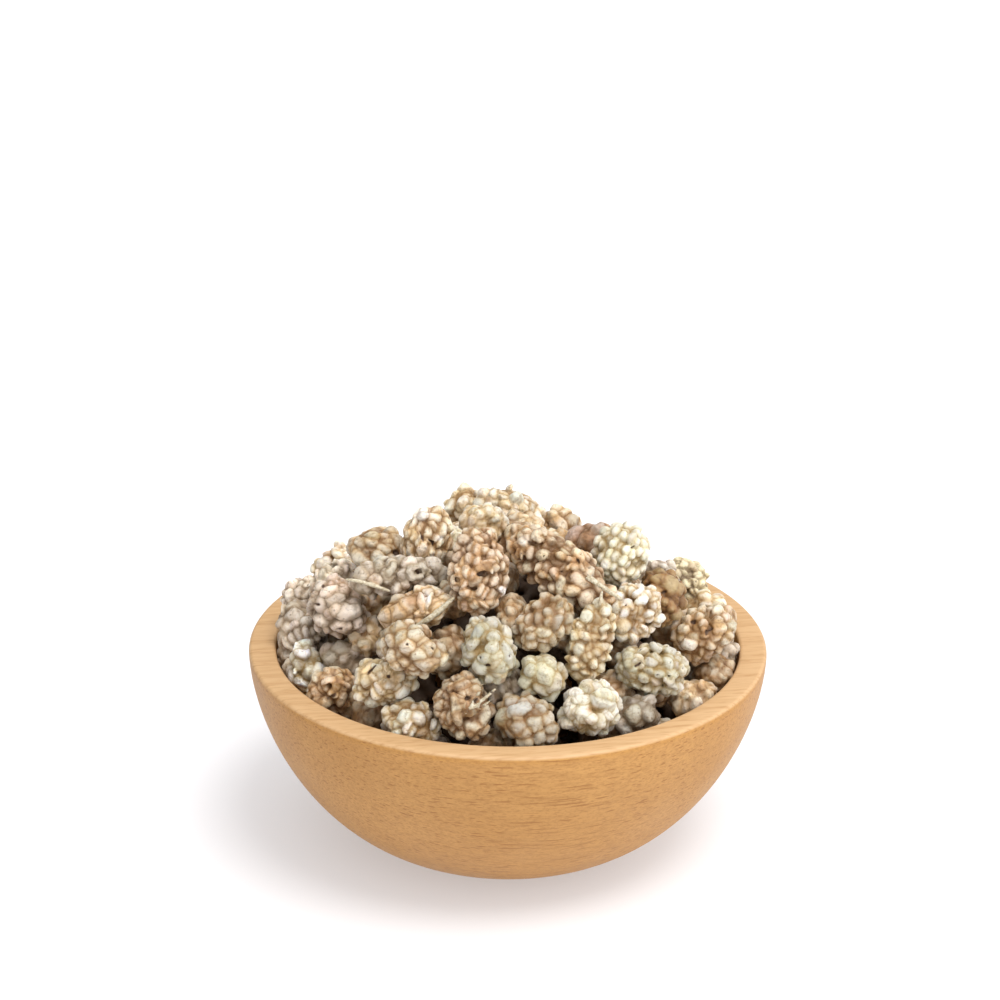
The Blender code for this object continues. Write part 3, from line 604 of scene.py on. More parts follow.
LOOKS = {
    1: look(Hole(15, 0, 2.6, 2.2), Curl(-7, -16, 8, 20, 330), Bead(-8, -16, 5, 5, proud=-0.1),
        Patch(-7, -16, 9, 7, 0.35), coarse=0.27, fine=0.5, ribs=0.5, tint=(0.87, 0.87, 0.88)),
    2: look(Hole(-6, 0, 6, 1.6, 110), Hole(4, -6, 5, 1.5, 130), Bead(-6, 22, 6, 5),
        Patch(-6, 22, 9, 8, 0.7, "chalk"), Patch(12, -2, 3, 3, 0.9, "chalk"), coarse=0.06, fine=0.75,
        ribs=0.8, tint=(1.15, 1.16, 1.20)),
    3: look(Bead(-3, 9, 10, 7, 80, 0.5), Bead(2, -8, 9, 8), coarse=0.18, fine=0.75, chalk=0.1, tint=1.17),
    4: look(Bead(-22, 10, 9, 8, 10), Patch(-24, 11, 4, 3, 0.7), Bead(-4, 6, 8, 7),
        Bead(14, 2, 7, 6), coarse=0.15, fine=0.75, chalk=0.1),
    5: look(Hole(4, -4, 5, 2.0, 20), Curl(6, -5, 8, 20, 120, 1.2), Bead(26, -21, 5, 4, 70),
        Patch(26, -21, 6, 5, 0.9, "chalk"), Curl(-20, -10, 4, 30, 290, 1.0), Hole(-20, -10, 1.5, 1.8),
        Bead(-6, -28, 7, 6), Bead(14, -33, 6, 6), Bead(7, 1, 9, 4, 15, 0.5), Bead(12, 7, 8, 4, 10, 0.4),
        fine=1, amber=0.16, pores=0.12, tint=(1.16, 1.18, 1.26)),
    6: look(Bead(11, 4, 12, 10, 80), Hole(5, 6, 2.2, 1.8), coarse=0.06, fine=0.85, chalk=0.14, tint=1.16),
    7: look(Curl(19, 5, 7, 0, 310, 1.7), Hole(19, 5, 2.6, 2.2, deep=0.7), Bead(8, -9, 5, 5),
        Patch(8, -9, 6, 5, 0.25), Bead(-22, -3, 8, 7), Patch(-24, -4, 7, 6, 0.45),
        Bead(-6, 9, 9, 4, 60), Straw(((-8, -13, 0.3), (-20, -9, 0.5), (-36, -4, 0.6), (-49, -2, 0.4)), 0.8),
        coarse=0.12, fine=0.75, tint=(0.95, 0.94, 0.93)),
    8: look(Patch(-2, 10, 7, 9, 0.75), Patch(11, 13, 5, 7, 0.8, "chalk"),
        Bead(-18, -2, 13, 10, 20), Bead(24, -4, 13, 10, 60), Bead(14, 10, 10, 4, 70, 0.4),
        Bead(6, 8, 12, 4, 100, 0.1),
        Straw(((1, -15, 0.5), (12, -9, 0.7), (24, 0, 0.9), (36, 11, 0.7)), 1.3), coarse=0.36, fine=0.55,
        ribs=0.5, amber=0.08, tint=(1.17, 1.18, 1.24)),
    9: look(Hole(-6, 5, 2.8, 1.6, 30), Hole(-26, 3, 1.5, 3.0, 10), Hole(18, 0, 1.4, 2.4, 40),
        Bead(-8, 3, 9, 8), Bead(16, 2, 9, 9), Bead(2, 16, 9, 8), Bead(14, -16, 12, 7, -10), coarse=0.24,
        fine=0.6, pores=0.1, tint=0.86),
    10: look(Frill(3, 4, 7, 9, 2.2), Hole(3, 4, 1.4, 3.0, 20), Bead(-5, -9, 9, 6, 120),
        Bead(-17, 14, 12, 5, 50), Bead(-24, 9, 13, 5, 60), Bead(-12, 18, 10, 4, 40),
        Hole(-13, 11, 7, 1.4, 50), Bead(18, -14, 9, 7), coarse=0.12, fine=0.8, tint=1.05),
    11: look(Hole(-21, 5, 3, 3), Hole(-15, 22, 3, 2.6), Hole(3, -20, 3.4, 2.2, 10),
        Bead(13, -3, 15, 10, 10, 0.5), Patch(13, -3, 15, 10, 0.35, "chalk"), Bead(-20, 5, 10, 10),
        Bead(-20, -14, 10, 9), Bead(3, -20, 11, 8, 10), Bead(6, 22, 9, 8, 20), Bead(21, 15, 8, 7),
        Bead(-4, 33, 8, 7), coarse=0.1, fine=0.85, tint=(1.02, 0.95, 0.93)),
    12: look(coarse=0.1, fine=0.8, tint=(1.08, 1.05, 1.06)),
    13: look(coarse=0.1, fine=0.8, tint=(1.12, 1.09, 1.09)),
    14: look(Bead(8, 2, 11, 8, 30),
        Straw(((12, -4, 0.6), (12, -13, 0.9), (14, -22, 0.9), (18, -31, 0.4)), 0.55), coarse=0.21,
        fine=0.65, chalk=0.12, tint=(1.12, 1.16, 1.3)),
    15: look(Curl(2, 2, 12, 20, 150, 1.6), Bead(6, 10, 10, 5, 70, 0.4), Hole(0, -4, 6, 2.4, 40),
        Bead(-12, -14, 10, 7, 20), coarse=0.27, fine=0.45, amber=0.12, tint=1.08),
    16: look(Bead(-13, 18, 10, 5, 60, 0.4), Patch(-13, 18, 8, 7, 0.5, "shade"), Bead(-18, 6, 8, 5, 40, 0.5),
        Bead(-24, -3, 9, 8), Bead(20, -4, 14, 7, 110, 0.4), Bead(12, -28, 9, 5, 80),
        Patch(13, -30, 3, 7, 0.6), Bead(2, 30, 8, 8), Bead(-12, -18, 9, 8), Bead(3, 3, 8, 7, 70),
        Bead(-5, -8, 8, 6, 20), Bead(5, 15, 7, 6), Bead(7, -14, 8, 6, 60), Hole(20, -4, 1.4, 2.6, -20),
        Hole(-9, -6, 1.3, 1.7), Hole(-2, -14, 1.6, 1.4), coarse=0.09, fine=0.8, tint=(0.72, 0.73, 0.74)),
    17: look(Frill(4, 9, 10, 9, 3.2), Hole(4, 9, 1.8, 4, 100), Bead(-9, 2, 13, 5, 100, 0.3),
        Straw(((4, -2, 0.5), (12, 3, 0.8), (22, 11, 0.9), (30, 18, 0.6)), 0.6),
        Straw(((2, -5, 0.4), (8, 4, 0.7), (14, 14, 0.8), (18, 24, 0.5)), 0.5),
        Straw(((8, 0, 0.4), (18, 2, 0.7), (28, 8, 0.5)), 0.45), Bead(22, -8, 12, 6, 70, 0.3),
        Bead(12, -20, 9, 7), Hole(12, 7, 3, 1.8, 50), coarse=0.12, fine=0.85, rough=1.3, tint=0.8),
    18: look(fine=0.7, coarse=0.06, pores=0.04, tint=0.9),
    19: look(Bead(3, 2, 13, 9, -60, 0.3), Bead(-14, 6, 8, 7), coarse=0.45, fine=0.2, pores=0.0,
        tint=(0.8, 0.8, 0.76)),
    20: look(Bead(-9, 14, 13, 7, 20, 0.5), Patch(-9, 15, 14, 8, 0.6, "chalk"), Bead(8, -2, 9, 8),
        Bead(-10, -6, 9, 9), Bead(14, 14, 7, 4, -40, 0.3), coarse=0.18, fine=0.75, pores=0.02, tint=0.6),
    21: look(Patch(1, 0, 4.5, 4, 0.9), Bead(14, 8, 14, 8, -10, 0.5), Bead(-22, 3, 9, 12, 0, 0.4),
        Bead(-8, -6, 9, 10), Bead(4, 24, 7, 6), Bead(10, -14, 10, 8), Bead(-16, 18, 8, 7), coarse=0.24,
        fine=0.55, chalk=0.4, rough=1.3, tint=0.89),
    22: look(Bead(8, 0, 7, 8), Patch(8, 0, 7, 8, 0.45, "shade"), Bead(-12, -22, 7, 6), fine=0.8,
        coarse=0.09, tint=0.76),
    23: look(Straw(((9, 34, 0.2), (10, 41, 0.8), (11, 48, 1.2)), 0.65), Patch(18, 4, 4, 4, 0.75),
        fine=0.95, pores=0.08, tint=(0.87, 0.86, 0.79)),
    24: look(Frill(15, 8, 7, 7, 3.2), Hole(15, 8, 1.4, 2.6, 20), Patch(15, 8, 7, 7, 0.5),
        Curl(-20, 33, 5, 20, 280, 1.7), Bead(-38, 26, 8, 5, 130, 0.4), Patch(-36, 28, 7, 5, 0.6, "chalk"),
        Patch(-44, 20, 5, 9, 0.7), Bead(-2, -18, 12, 5, 75, 0.3), Bead(10, -22, 8, 6),
        Straw(((24, -8, 0.4), (34, -13, 0.8), (46, -21, 0.9), (57, -28, 0.5)), 1.0),
        Straw(((22, -2, 0.4), (32, -10, 0.8), (40, -18, 0.7)), 0.6), fine=1, pores=0.25, amber=0.04,
        tint=1.15),
    25: look(coarse=0.5, fine=0.3, pores=0.0, tint=0.95),
    26: look(Hole(-21, -16, 4, 2.6, 80), Hole(13, 8, 1.6, 1.6), fine=0.9, variety=0.16, pores=0.02,
        rough=0.8, tint=(1, 1.02, 1.04)),
    27: look(Bead(-10, 4, 13, 10, 30), coarse=0.4, fine=0.1, pores=0.0, tint=(0.86, 0.78, 0.84)),
    28: look(Hole(-14, 9, 2.4, 3.4, 60), Patch(-14, 9, 9, 9, 0.7), Hole(2, 3, 3, 1.6, 20),
        Patch(2, 2, 9, 6, 0.6), Bead(-4, 18, 9, 7), coarse=0.18, fine=0.55, amber=0.2,
        tint=(0.62, 0.54, 0.38)),
    29: look(fine=1, pores=0.06, tint=(1.28, 1.28, 1.05)),
    30: look(Hole(7, 3, 2.8, 5, -30, 1.1), Patch(7, 3, 9, 11, 0.7), Hole(-8, 12, 3, 1.6, 30),
        Patch(-8, 12, 10, 7, 0.55), Patch(-14, -11, 9, 7, 0.75, "chalk"), Bead(-14, -11, 9, 7),
        Bead(20, 6, 9, 8), coarse=0.12, fine=0.75, amber=0.06, tint=0.96),
    31: look(Hole(-6, 9, 1.6, 1.6), Bead(-6, 9, 8, 7), Bead(-12, -14, 9, 9), fine=0.75, coarse=0.12,
        tint=(0.99, 1.0, 1.06)),
    32: look(Curl(-14, 3, 6, 40, 190, 1.0), Hole(-14, 3, 3, 1.2, 40), Curl(15, -9, 5, 200, 350, 1.0),
        Hole(15, -8, 2.4, 1.2, -20), Bead(-24, 12, 8, 10), fine=1, pores=0.12, tint=0.72),
    33: look(Bead(-8, 4, 12, 9, 50), Bead(10, 6, 10, 8, 110), coarse=0.65, fine=0.2, pores=0.02, tint=0.62),
    45: look(fine=0.9, chalk=0.1, tint=(1.28, 1.26, 1.2)),
}
FAR_LOOKS = (
    look(), look(fine=0.8, amber=0.08), look(coarse=0.15, fine=0.6, chalk=0.1), look(coarse=0.2, ribs=0.4),
    look(fine=0.5, tint=(1.05, 1.02, 0.96)), look(coarse=0.15, rough=1.3, pores=0.2),
)
BENEATH_LOOK = look(fine=0.0, coarse=0.0, pores=0.1, amber=0.1)


def picture_axes():
    """The direction that the photograph looks in, and its own right and up."""
    ahead = np.array([0.0, math.cos(SIGHT_TILT), -math.sin(SIGHT_TILT)])
    level_up = np.array([0.0, math.sin(SIGHT_TILT), math.cos(SIGHT_TILT)])
    level_right = np.array([1.0, 0.0, 0.0])
    right = math.cos(SIGHT_ROLL) * level_right - math.sin(SIGHT_ROLL) * level_up
    up = math.cos(SIGHT_ROLL) * level_up + math.sin(SIGHT_ROLL) * level_right
    return ahead, right, up


class Sight:
    """How the photograph sees one mulberry, in the mulberry's own axes."""

    def __init__(self, ovoid):
        ahead, right, up = picture_axes()
        eye = np.array([0.0, 0.0, bowl_height]) - SIGHT_REACH * ahead
        self.ahead = ovoid.axes @ rows(ovoid.centre - eye)
        self.right = ovoid.axes @ right
        self.up = ovoid.axes @ up
        self.radii = ovoid.radii

    def strand(self, path):
        """The points of a straw, which stays as far from the eye where it leaves the mulberry's outline."""
        points, depth = [], 0.0
        for right, up, lift in path:
            point, _ = self.cast(right, up, lift)
            across = self.level(right, up)
            if np.linalg.norm((point - lift * self.ahead) / self.radii) < STRAND_REACH:
                nearest = (point - across) @ self.ahead
                depth = min(depth, nearest) if points else nearest
            points.append(across + depth * self.ahead)
        return np.array(points)

    def level(self, right, up):
        """The point there that is as far from the eye as the mulberry's middle."""
        return (right * self.right + up * self.up) / PIXELS_PER_MM

    def cast(self, right, up, lift=0.0):
        """The point of the mulberry that shows there, or the one beside its outline, and the way out."""
        across = self.level(right, up)
        start, step = across / self.radii, self.ahead / self.radii
        half = start @ step
        spare = max(half**2 - (step @ step) * (start @ start - 1.0), 0.0)
        point = across + (-half - math.sqrt(spare)) / (step @ step) * self.ahead
        out = rows(point / self.radii**2)
        return point + lift * out, out

    def ring(self, mark, turn, size, lift):
        """The same at an angle round a mark's middle, and size pixels from it."""
        up = mark.up + RING_FLATTENING * size * math.sin(turn)
        return self.cast(mark.right + size * math.cos(turn), up, lift)

    def bead(self, top, out, lean, sizes, group):
        """A drupelet whose top is there, with its half sizes outwards, along its lean and across it."""
        axes = np.stack([out, *self.turned(lean, out)])[None]
        return Beads((top - sizes[0] * out)[None], axes, np.array([sizes]), np.array([group]), np.zeros(1))

    def turned(self, lean, out):
        """The direction in the picture that leans so, laid square to out, and the third one."""
        angle = math.radians(lean)
        along = math.cos(angle) * self.right + math.sin(angle) * self.up
        along = rows(along - (along @ out) * out)
        return along, np.cross(out, along)

    def share(self, points, mark):
        """How much of a mark each point has, from 0 to 1."""
        middle, _ = self.cast(mark.right, mark.up)
        between = points - middle
        depth = between @ self.ahead
        angle = math.radians(getattr(mark, "lean", 0.0))
        right, up = between @ self.right, between @ self.up
        along = (right * math.cos(angle) + up * math.sin(angle)) * PIXELS_PER_MM / mark.long
        across = (up * math.cos(angle) - right * math.sin(angle)) * PIXELS_PER_MM / mark.wide
        return np.exp(-((along**2 + across**2) ** MARK_EDGE)) * (np.abs(depth) < MARK_DEPTH)


def node_points(node):
    """The corners of a CAD node's mesh, each once, in millimetres."""
    mesh = frame["nodes"][node].data
    corners = np.empty(3 * len(mesh.vertices))
    mesh.vertices.foreach_get("co", corners)
    return np.unique(np.round(corners.reshape(-1, 3) / MM, 3), axis=0)


def outermost(points):
    """Which points are corners of the shape stretched over all of them."""
    shape = bmesh.new()
    for point in points:
        shape.verts.new(point)
    shape.verts.index_update()
    found = bmesh.ops.convex_hull(shape, input=shape.verts)
    inside = {part.index for part in found["geom_interior"] if isinstance(part, bmesh.types.BMVert)}
    shape.free()
    return np.array([n not in inside for n in range(len(points))])


def read_ovoid(points):
    """The ovoid that a mulberry's knobs reach, with the directions of its knobs and of its hollows."""
    outer = outermost(points)
    knobs = points[outer]
    origin = np.median(knobs, axis=0)
    held = np.ones(len(knobs), bool)
    for _ in range(FIT_ROUNDS):
        x, y, z = (knobs[held] - origin).T
        terms = np.column_stack([x * x, y * y, z * z, 2 * x * y, 2 * x * z, 2 * y * z, 2 * x, 2 * y, 2 * z])
        a, b, c, d, e, f, g, h, i = np.linalg.lstsq(terms, np.ones(len(x)), rcond=None)[0]
        form = np.array([[a, d, e], [d, b, f], [e, f, c]])
        middle = -np.linalg.solve(form, [g, h, i])
        size, axes = np.linalg.eigh(form / (1.0 + middle @ form @ middle))
        radii = 1.0 / np.sqrt(np.clip(size, 1e-3, None))
        reach = np.linalg.norm((knobs - origin - middle) @ axes / radii, axis=1)
        held = np.abs(reach - 1.0) < KNOB_SPARE
    axes = axes.T
    axes[2] = np.cross(axes[0], axes[1])
    radii[1:] = radii[1:].mean()
    ovoid = Ovoid(origin + middle, axes, radii)
    places = (points - ovoid.centre) @ axes.T / radii
    reach = np.linalg.norm(places, axis=1)
    return ovoid, rows(places[outer & (reach < 1.0 + KNOB_SPARE)]), rows(places[~outer & (reach < 1.0)])


def spread_out(directions, radii, sizes):
    """The directions after their points on the ovoid have pushed each other apart, the larger further."""
    around = np.sqrt(4 * math.pi * (radii[0] * radii[1]) / len(directions))
    want = around * (sizes[:, None] + sizes[None]) / 2
    for _ in range(SPREAD_STEPS):
        points = directions * radii
        between = points[:, None] - points[None]
        distance = np.linalg.norm(between, axis=-1) + 1e-6
        push = np.clip(want - distance, 0.0, None) / distance
        np.fill_diagonal(push, 0.0)
        points = points + SPREAD_PUSH * (push[..., None] * between).sum(axis=1)
        directions = rows(points / radii)
    return directions


def crossed(out, side):
    """Axes as rows for each of several beads: out, the part of side square to it, and the third one."""
    side = side - (side * out).sum(axis=1, keepdims=True) * out
    side = rows(side + 1e-6)
    return np.stack([out, side, np.cross(out, side)], axis=1)


def drupelets(radii, directions, look, draw):
    """Drupelets on an ovoid, one to each direction, each filling the room that its neighbours leave."""
    count = len(directions)
    lumps = ripple(directions, LUMP_SIZE, draw) - LUMP_START
    lumps = 1.0 + LUMP_DEPTH * np.clip(lumps, -1.0, 0.0)
    points = directions * radii * lumps[:, None]
    between = points[None] - points[:, None]
    distance = np.linalg.norm(between, axis=-1)
    order = np.argsort(distance, axis=1)
    sorted_distance = np.take_along_axis(distance, order, axis=1)
    nearest = sorted_distance[:, 1]
    room = sorted_distance[:, 2 : 1 + NEIGHBOURS].mean(axis=1)
    tipward = np.array([1.0, 0.0, 0.0]) - directions[:, :1] * directions
    leaning = draw.normal(0.0, LEAN_SPREAD * look.rough, (count, 3))
    out = rows(rows(directions / radii) + TIP_LEAN * tipward + leaning)
    short = SHORT_SHARE * nearest * draw.uniform(*SHORT_RANGE, count)
    long = np.clip(LONG_SHARE * room * draw.uniform(*LONG_RANGE, count), short, MOST_SLIM * short)
    towards = between[np.arange(count), order[:, 1]]
    axes = crossed(out, towards)
    ribbed = draw.random(count) < look.ribs
    axes[ribbed] = crossed(out[ribbed], np.cross(out[ribbed], tipward[ribbed] + 1e-3))
    long = np.where(ribbed, RIB_STRETCH * short, long)
    rise = np.sqrt(short * np.minimum(long, RISE_SLIM * short)) * draw.uniform(*RISE_SHARE, count)
    drop = draw.normal(0.0, SURFACE_DROP * look.rough, count)
    drop = np.where(drop < 0.0, PROUD_SHARE * drop, drop)
    drop += np.where(draw.random(count) < SUNKEN_SHARE * look.rough, SUNKEN_DROP, 0.0)
    centres = points - out * (rise + drop)[:, None]
    sizes = np.column_stack([rise, short, long])
    return Beads(centres, axes, sizes, np.arange(count) + 1, np.zeros(count)), room.mean()


def joined(several):
    return Beads(*[np.concatenate(parts) for parts in zip(*several)])


def chain(points, width, group, kind):
    """Small beads along a run of points, close enough to make one strand."""
    steps = np.linalg.norm(np.diff(points, axis=0), axis=1)
    along = np.concatenate([[0.0], np.cumsum(steps)])
    count = max(3, int(along[-1] / (CHAIN_STEP * width)) + 1)
    places = np.linspace(0.0, along[-1], count)
    centres = np.column_stack([np.interp(places, along, points[:, n]) for n in range(3)])
    ways = rows(np.gradient(centres, axis=0))
    side = rows(np.cross(ways, CHAIN_SIDE))
    axes = np.stack([side, np.cross(ways, side), ways], axis=1)
    taper = 1.0 - CHAIN_TAPER * np.abs(np.linspace(-1.0, 1.0, count)) ** 3
    lumps = 1.0 + CHAIN_LUMPS * (kind == 0) * np.sin(CHAIN_WAVE * np.arange(count) + group)
    radii = width * (taper * lumps)[:, None] * CHAIN_BEAD
    return Beads(centres, axes, radii, np.full(count, group), np.full(count, kind))


def marked(sight, marks, first_group):
    """The beads of a mulberry's marks, and the points that its own drupelets keep clear of, with how far."""
    made, clear = [], []
    for mark in marks:
        group = first_group + len(made)
        if isinstance(mark, Bead):
            top, out = sight.cast(mark.right, mark.up, mark.proud)
            long, wide = mark.long / PIXELS_PER_MM, mark.wide / PIXELS_PER_MM
            rise = BEAD_RISE * math.sqrt(min(long, BEAD_SLIM * wide) * wide)
            made.append(sight.bead(top, out, mark.lean, (rise, long, wide), group))
            clear.append((top, BEAD_ROOM * (long + wide) + BEAD_SPARE))
        elif isinstance(mark, Curl):
            rim = []
            for turn in np.radians(np.linspace(mark.start, mark.end, CURL_POINTS)):
                size = mark.size * (1.0 + CURL_WOBBLE * math.sin(CURL_WAVES[0] * turn + mark.right))
                lift = CURL_LIFT * math.sin(CURL_WAVES[1] * turn + mark.up) - CURL_SINK
                rim.append(sight.ring(mark, turn, size, lift)[0])
            made.append(chain(np.array(rim), mark.width, group, 0.0))
            clear.append((sight.cast(mark.right, mark.up)[0], CURL_ROOM * mark.size / PIXELS_PER_MM))
        elif isinstance(mark, Straw):
            made.append(chain(sight.strand(mark.path), mark.width, group, 1.0))
        elif isinstance(mark, Frill):
            for number in range(mark.count):
                uneven = FRILL_UNEVEN * math.sin(FRILL_WAVES[0] * number + mark.up)
                turn = 2 * math.pi * (number + uneven) / mark.count
                size = mark.size * (1.0 + FRILL_UNEVEN * math.sin(FRILL_WAVES[1] * number + mark.right))
                top, out = sight.ring(mark, turn, size, FRILL_LIFT)
                long, wide = FRILL_LENGTH * size / PIXELS_PER_MM, mark.width / PIXELS_PER_MM
                sizes = (FRILL_RISE * wide, long, wide)
                made.append(sight.bead(top, out, math.degrees(turn), sizes, group + number))
            clear.append((sight.cast(mark.right, mark.up)[0], FRILL_ROOM * mark.size / PIXELS_PER_MM))
    return made, clear


def middle_of(radii, depth):
    """The flesh that the drupelets stand on."""
    return Beads(np.zeros((1, 3)), np.eye(3)[None], (radii - depth)[None], np.zeros(1, int), np.full(1, 2.0))


def ball():
    """A unit ball's points and triangles."""
    shape = bmesh.new()
    bmesh.ops.create_icosphere(shape, subdivisions=BALL_SUBDIVISIONS, radius=1.0)
    points = np.array([vert.co for vert in shape.verts])
    faces = np.array([[vert.index for vert in face.verts] for face in shape.faces])
    shape.free()
    return points, faces


def wrapped(beads, voxel):
    """The points and faces of one closed surface round all the beads."""
    points, faces = BALL
    placed = np.einsum("pi,bi,bij->bpj", points, beads.radii, beads.axes) + beads.centres[:, None]
    strung = faces[None] + len(points) * np.arange(len(beads.centres))[:, None, None]
    mesh = bpy.data.meshes.new("raw")
    mesh.from_pydata(placed.reshape(-1, 3).tolist(), [], strung.reshape(-1, 3).tolist())
    raw = added("raw", mesh)
    remesh = raw.modifiers.new("remesh", "REMESH")
    remesh.mode = "VOXEL"
    remesh.voxel_size = voxel
    graph = bpy.context.evaluated_depsgraph_get()
    made = bpy.data.meshes.new_from_object(raw.evaluated_get(graph))
    found = np.empty(3 * len(made.vertices))
    made.vertices.foreach_get("co", found)
    corners = np.empty(len(made.loops), int)
    made.loops.foreach_get("vertex_index", corners)
    bpy.data.objects.remove(raw)
    bpy.data.meshes.remove(mesh)
    bpy.data.meshes.remove(made)
    return found.reshape(-1, 3), corners.reshape(-1, 4)


def nearness(points, beads):
    """Each point's distance from each bead, below zero inside it, their smooth union's, and its way out."""
    turned = (beads.axes / beads.radii[..., None]).reshape(-1, 3)
    offset = np.einsum("bij,bj->bi", turned.reshape(-1, 3, 3), beads.centres).ravel()
    local = (points @ turned.T - offset).reshape(len(points), -1, 3)
    length = np.sqrt((local**2).sum(axis=-1)) + 1e-9
    steep = local / beads.radii
    slope = np.sqrt((steep**2).sum(axis=-1)) + 1e-9
    distance = length * (length - 1.0) / slope
    least = distance.min(axis=1, keepdims=True)
    share = np.exp((least - distance) / SOFTNESS)
    total = share.sum(axis=1, keepdims=True)
    away = (steep * (share / slope)[..., None]).reshape(len(points), -1) @ beads.axes.reshape(-1, 3)
    return distance, (least - SOFTNESS * np.log(total))[:, 0], rows(away)


def drawn_on(points, beads):
    """The points moved onto the smooth union of the beads, the distances there, and the directions out."""
    for _ in range(DRAWN_STEPS):
        _, union, away = nearness(points, beads)
        points = points - np.clip(union, -MOST_DRAWN, MOST_DRAWN)[:, None] * away
    distance, _, away = nearness(points, beads)
    return points, distance, away


def skin(ovoid, beads, voxel, look, sight, draw):
    """A mulberry's surface in the frame's axes, and the numbers for its material at each point."""
    order = np.argsort(beads.groups, kind="stable")
    beads = Beads(*[part[order] for part in beads])
    points, faces = wrapped(beads, voxel)
    points, distance, away = drawn_on(points, beads)
    starts = np.flatnonzero(np.diff(beads.groups, prepend=-1))
    nearest = np.minimum.reduceat(distance, starts, axis=1)
    group = nearest.argmin(axis=1)
    first, second = np.partition(nearest, 1, axis=1)[:, :2].T
    # crease and flank: how near the next drupelet is, for browner creases and golden sides, partly the
    # fruit's own colour and partly painted shade.
    crease = np.exp(-(second - first) / CREASE_WIDTH)
    flank = np.exp(-(second - first) / FLANK_WIDTH)
    kind = beads.kinds[starts][group]
    # depth: how far below the ovoid a point lies, for painted shade in the deep places.
    reach = np.linalg.norm(points / ovoid.radii, axis=1)
    depth = np.clip((1.0 - reach) * ovoid.radii[1] / DEPTH_REACH, 0.0, 1.0)
    bead = distance.argmin(axis=1)
    between = points - beads.centres[bead]
    local = np.einsum("pj,pij->pi", between, beads.axes[bead]) / beads.radii[bead]
    aside = draw.normal(0.0, PORE_ASIDE, (len(beads.groups), 2))[bead]
    off = np.hypot(local[:, 1] - aside[:, 0], PORE_SLIM * (local[:, 2] - aside[:, 1]))
    off += INNER_SIDE * (local[:, 0] < 0.0)
    plain = beads.kinds == 0
    dimpled = plain & (draw.random(len(plain)) < DIMPLE_SHARE)
    holed = plain & (draw.random(len(plain)) < look.pores)
    width = beads.radii[:, 1:].mean(axis=1)
    sunk = (dimpled * DIMPLE_DEPTH * width)[bead] * np.exp(-((off / DIMPLE_WIDTH) ** 2))
    pore = holed[bead] * np.exp(-((off / PORE_WIDTH) ** 2))
    sunk += PORE_DEPTH * pore * width[bead]
    amber = look.amber * draw.random(len(starts))[group] * 2.0
    chalk = look.chalk * draw.random(len(starts))[group] * 2.0
    tint = np.array(look.tint) * np.exp(
        draw.normal(0.0, SHADE_SPREAD, (len(starts), 1)) + draw.normal(0.0, HUE_SPREAD, (len(starts), 3))
    )
    tint = tint[group]
    for mark in look.marks:
        if isinstance(mark, Hole):
            share = sight.share(points, mark)
            pore = np.maximum(pore, share)
            sunk += HOLE_DEPTH * mark.deep * share
        elif isinstance(mark, Patch):
            share = mark.share * sight.share(points, mark)
            if mark.kind == "amber":
                amber = np.maximum(amber, share)
            elif mark.kind == "chalk":
                chalk = np.maximum(chalk, share)
            else:
                tint = tint * (1.0 - share[:, None] * np.array(SHADED))
    for grain, height in WRINKLE_GRAINS:
        sunk -= height * look.rough * ripple(points, grain, draw) * (kind != 1)
    fold = ripple(points, FOLD_GRAIN, draw) / FOLD_WIDTH
    fold = np.exp(-(fold**2)) * (kind != 1)
    sunk += FOLD_DEPTH * look.rough * fold
    # The folds take the crease colour: painted shade in them.
    crease = np.maximum(crease, FOLD_SHADE * look.rough * fold)
    warp = np.column_stack([ripple(points, WARP_GRAIN, draw) for _ in range(3)])
    points = points - sunk[:, None] * away + WARP_SIZE * look.rough * (kind != 1)[:, None] * warp
    variety = draw.random(len(starts))[group]
    # The bare flesh between drupelets takes BARE_CREASE of the crease colour and all of the golden side
    # colour: painted shade there.
    numbers = {
        "crease": np.where(kind == 2, BARE_CREASE, crease * (kind != 1)),
        "flank": np.where(kind == 2, 1.0, flank),
        "depth": depth,
        "variety": variety,
        "pore": pore,
        "husk": kind == 1,
        "amber": amber,
        "chalk": chalk,
        "tint": tint,
    }
    return ovoid.centre + points @ ovoid.axes, faces, numbers


def mulberry(ovoid, knobs, hollows, look, voxel, draw):
    """One dried mulberry: a drupelet at each knob, smaller ones in some of the hollows, and its marks."""
    ovoid = ovoid._replace(radii=ovoid.radii + GROWTH)
    sight = Sight(ovoid)
    knobs = knobs[draw.random(len(knobs)) >= look.coarse]
    held = hollows[draw.random(len(hollows)) < look.fine]
    sizes = np.concatenate([np.full(len(knobs), KNOB_SIZE), np.full(len(held), SMALLER)])
    sizes = sizes * np.exp(draw.normal(0.0, look.variety, len(sizes)))
    directions = np.concatenate([knobs, held])
    extra, clear = marked(sight, look.marks, len(directions) + 1)
    for middle, room in clear:
        free = np.linalg.norm(directions * ovoid.radii - middle, axis=1) > room
        directions, sizes = directions[free], sizes[free]
    directions = spread_out(directions, ovoid.radii, sizes)
    beads, spacing = drupelets(ovoid.radii, directions, look, draw)
    beads = joined([beads, *extra, middle_of(ovoid.radii, CORE_DEPTH * spacing)])
    return skin(ovoid, beads, voxel, look, sight, draw)


def add_piece(name, points, faces, numbers, finish, slot, node):
    """A smooth-shaded mesh piece that rides with the bowl and stands for a CAD node."""
    mesh = bpy.data.meshes.new(name)
    mesh.from_pydata((points * MM).tolist(), [], faces.tolist())
    mesh.shade_smooth()
    mesh.materials.append(finish)
    for attribute, values in numbers.items():
        store(mesh, attribute, values)
    piece = added(name, mesh)
    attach(piece, "root")
    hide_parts(node)


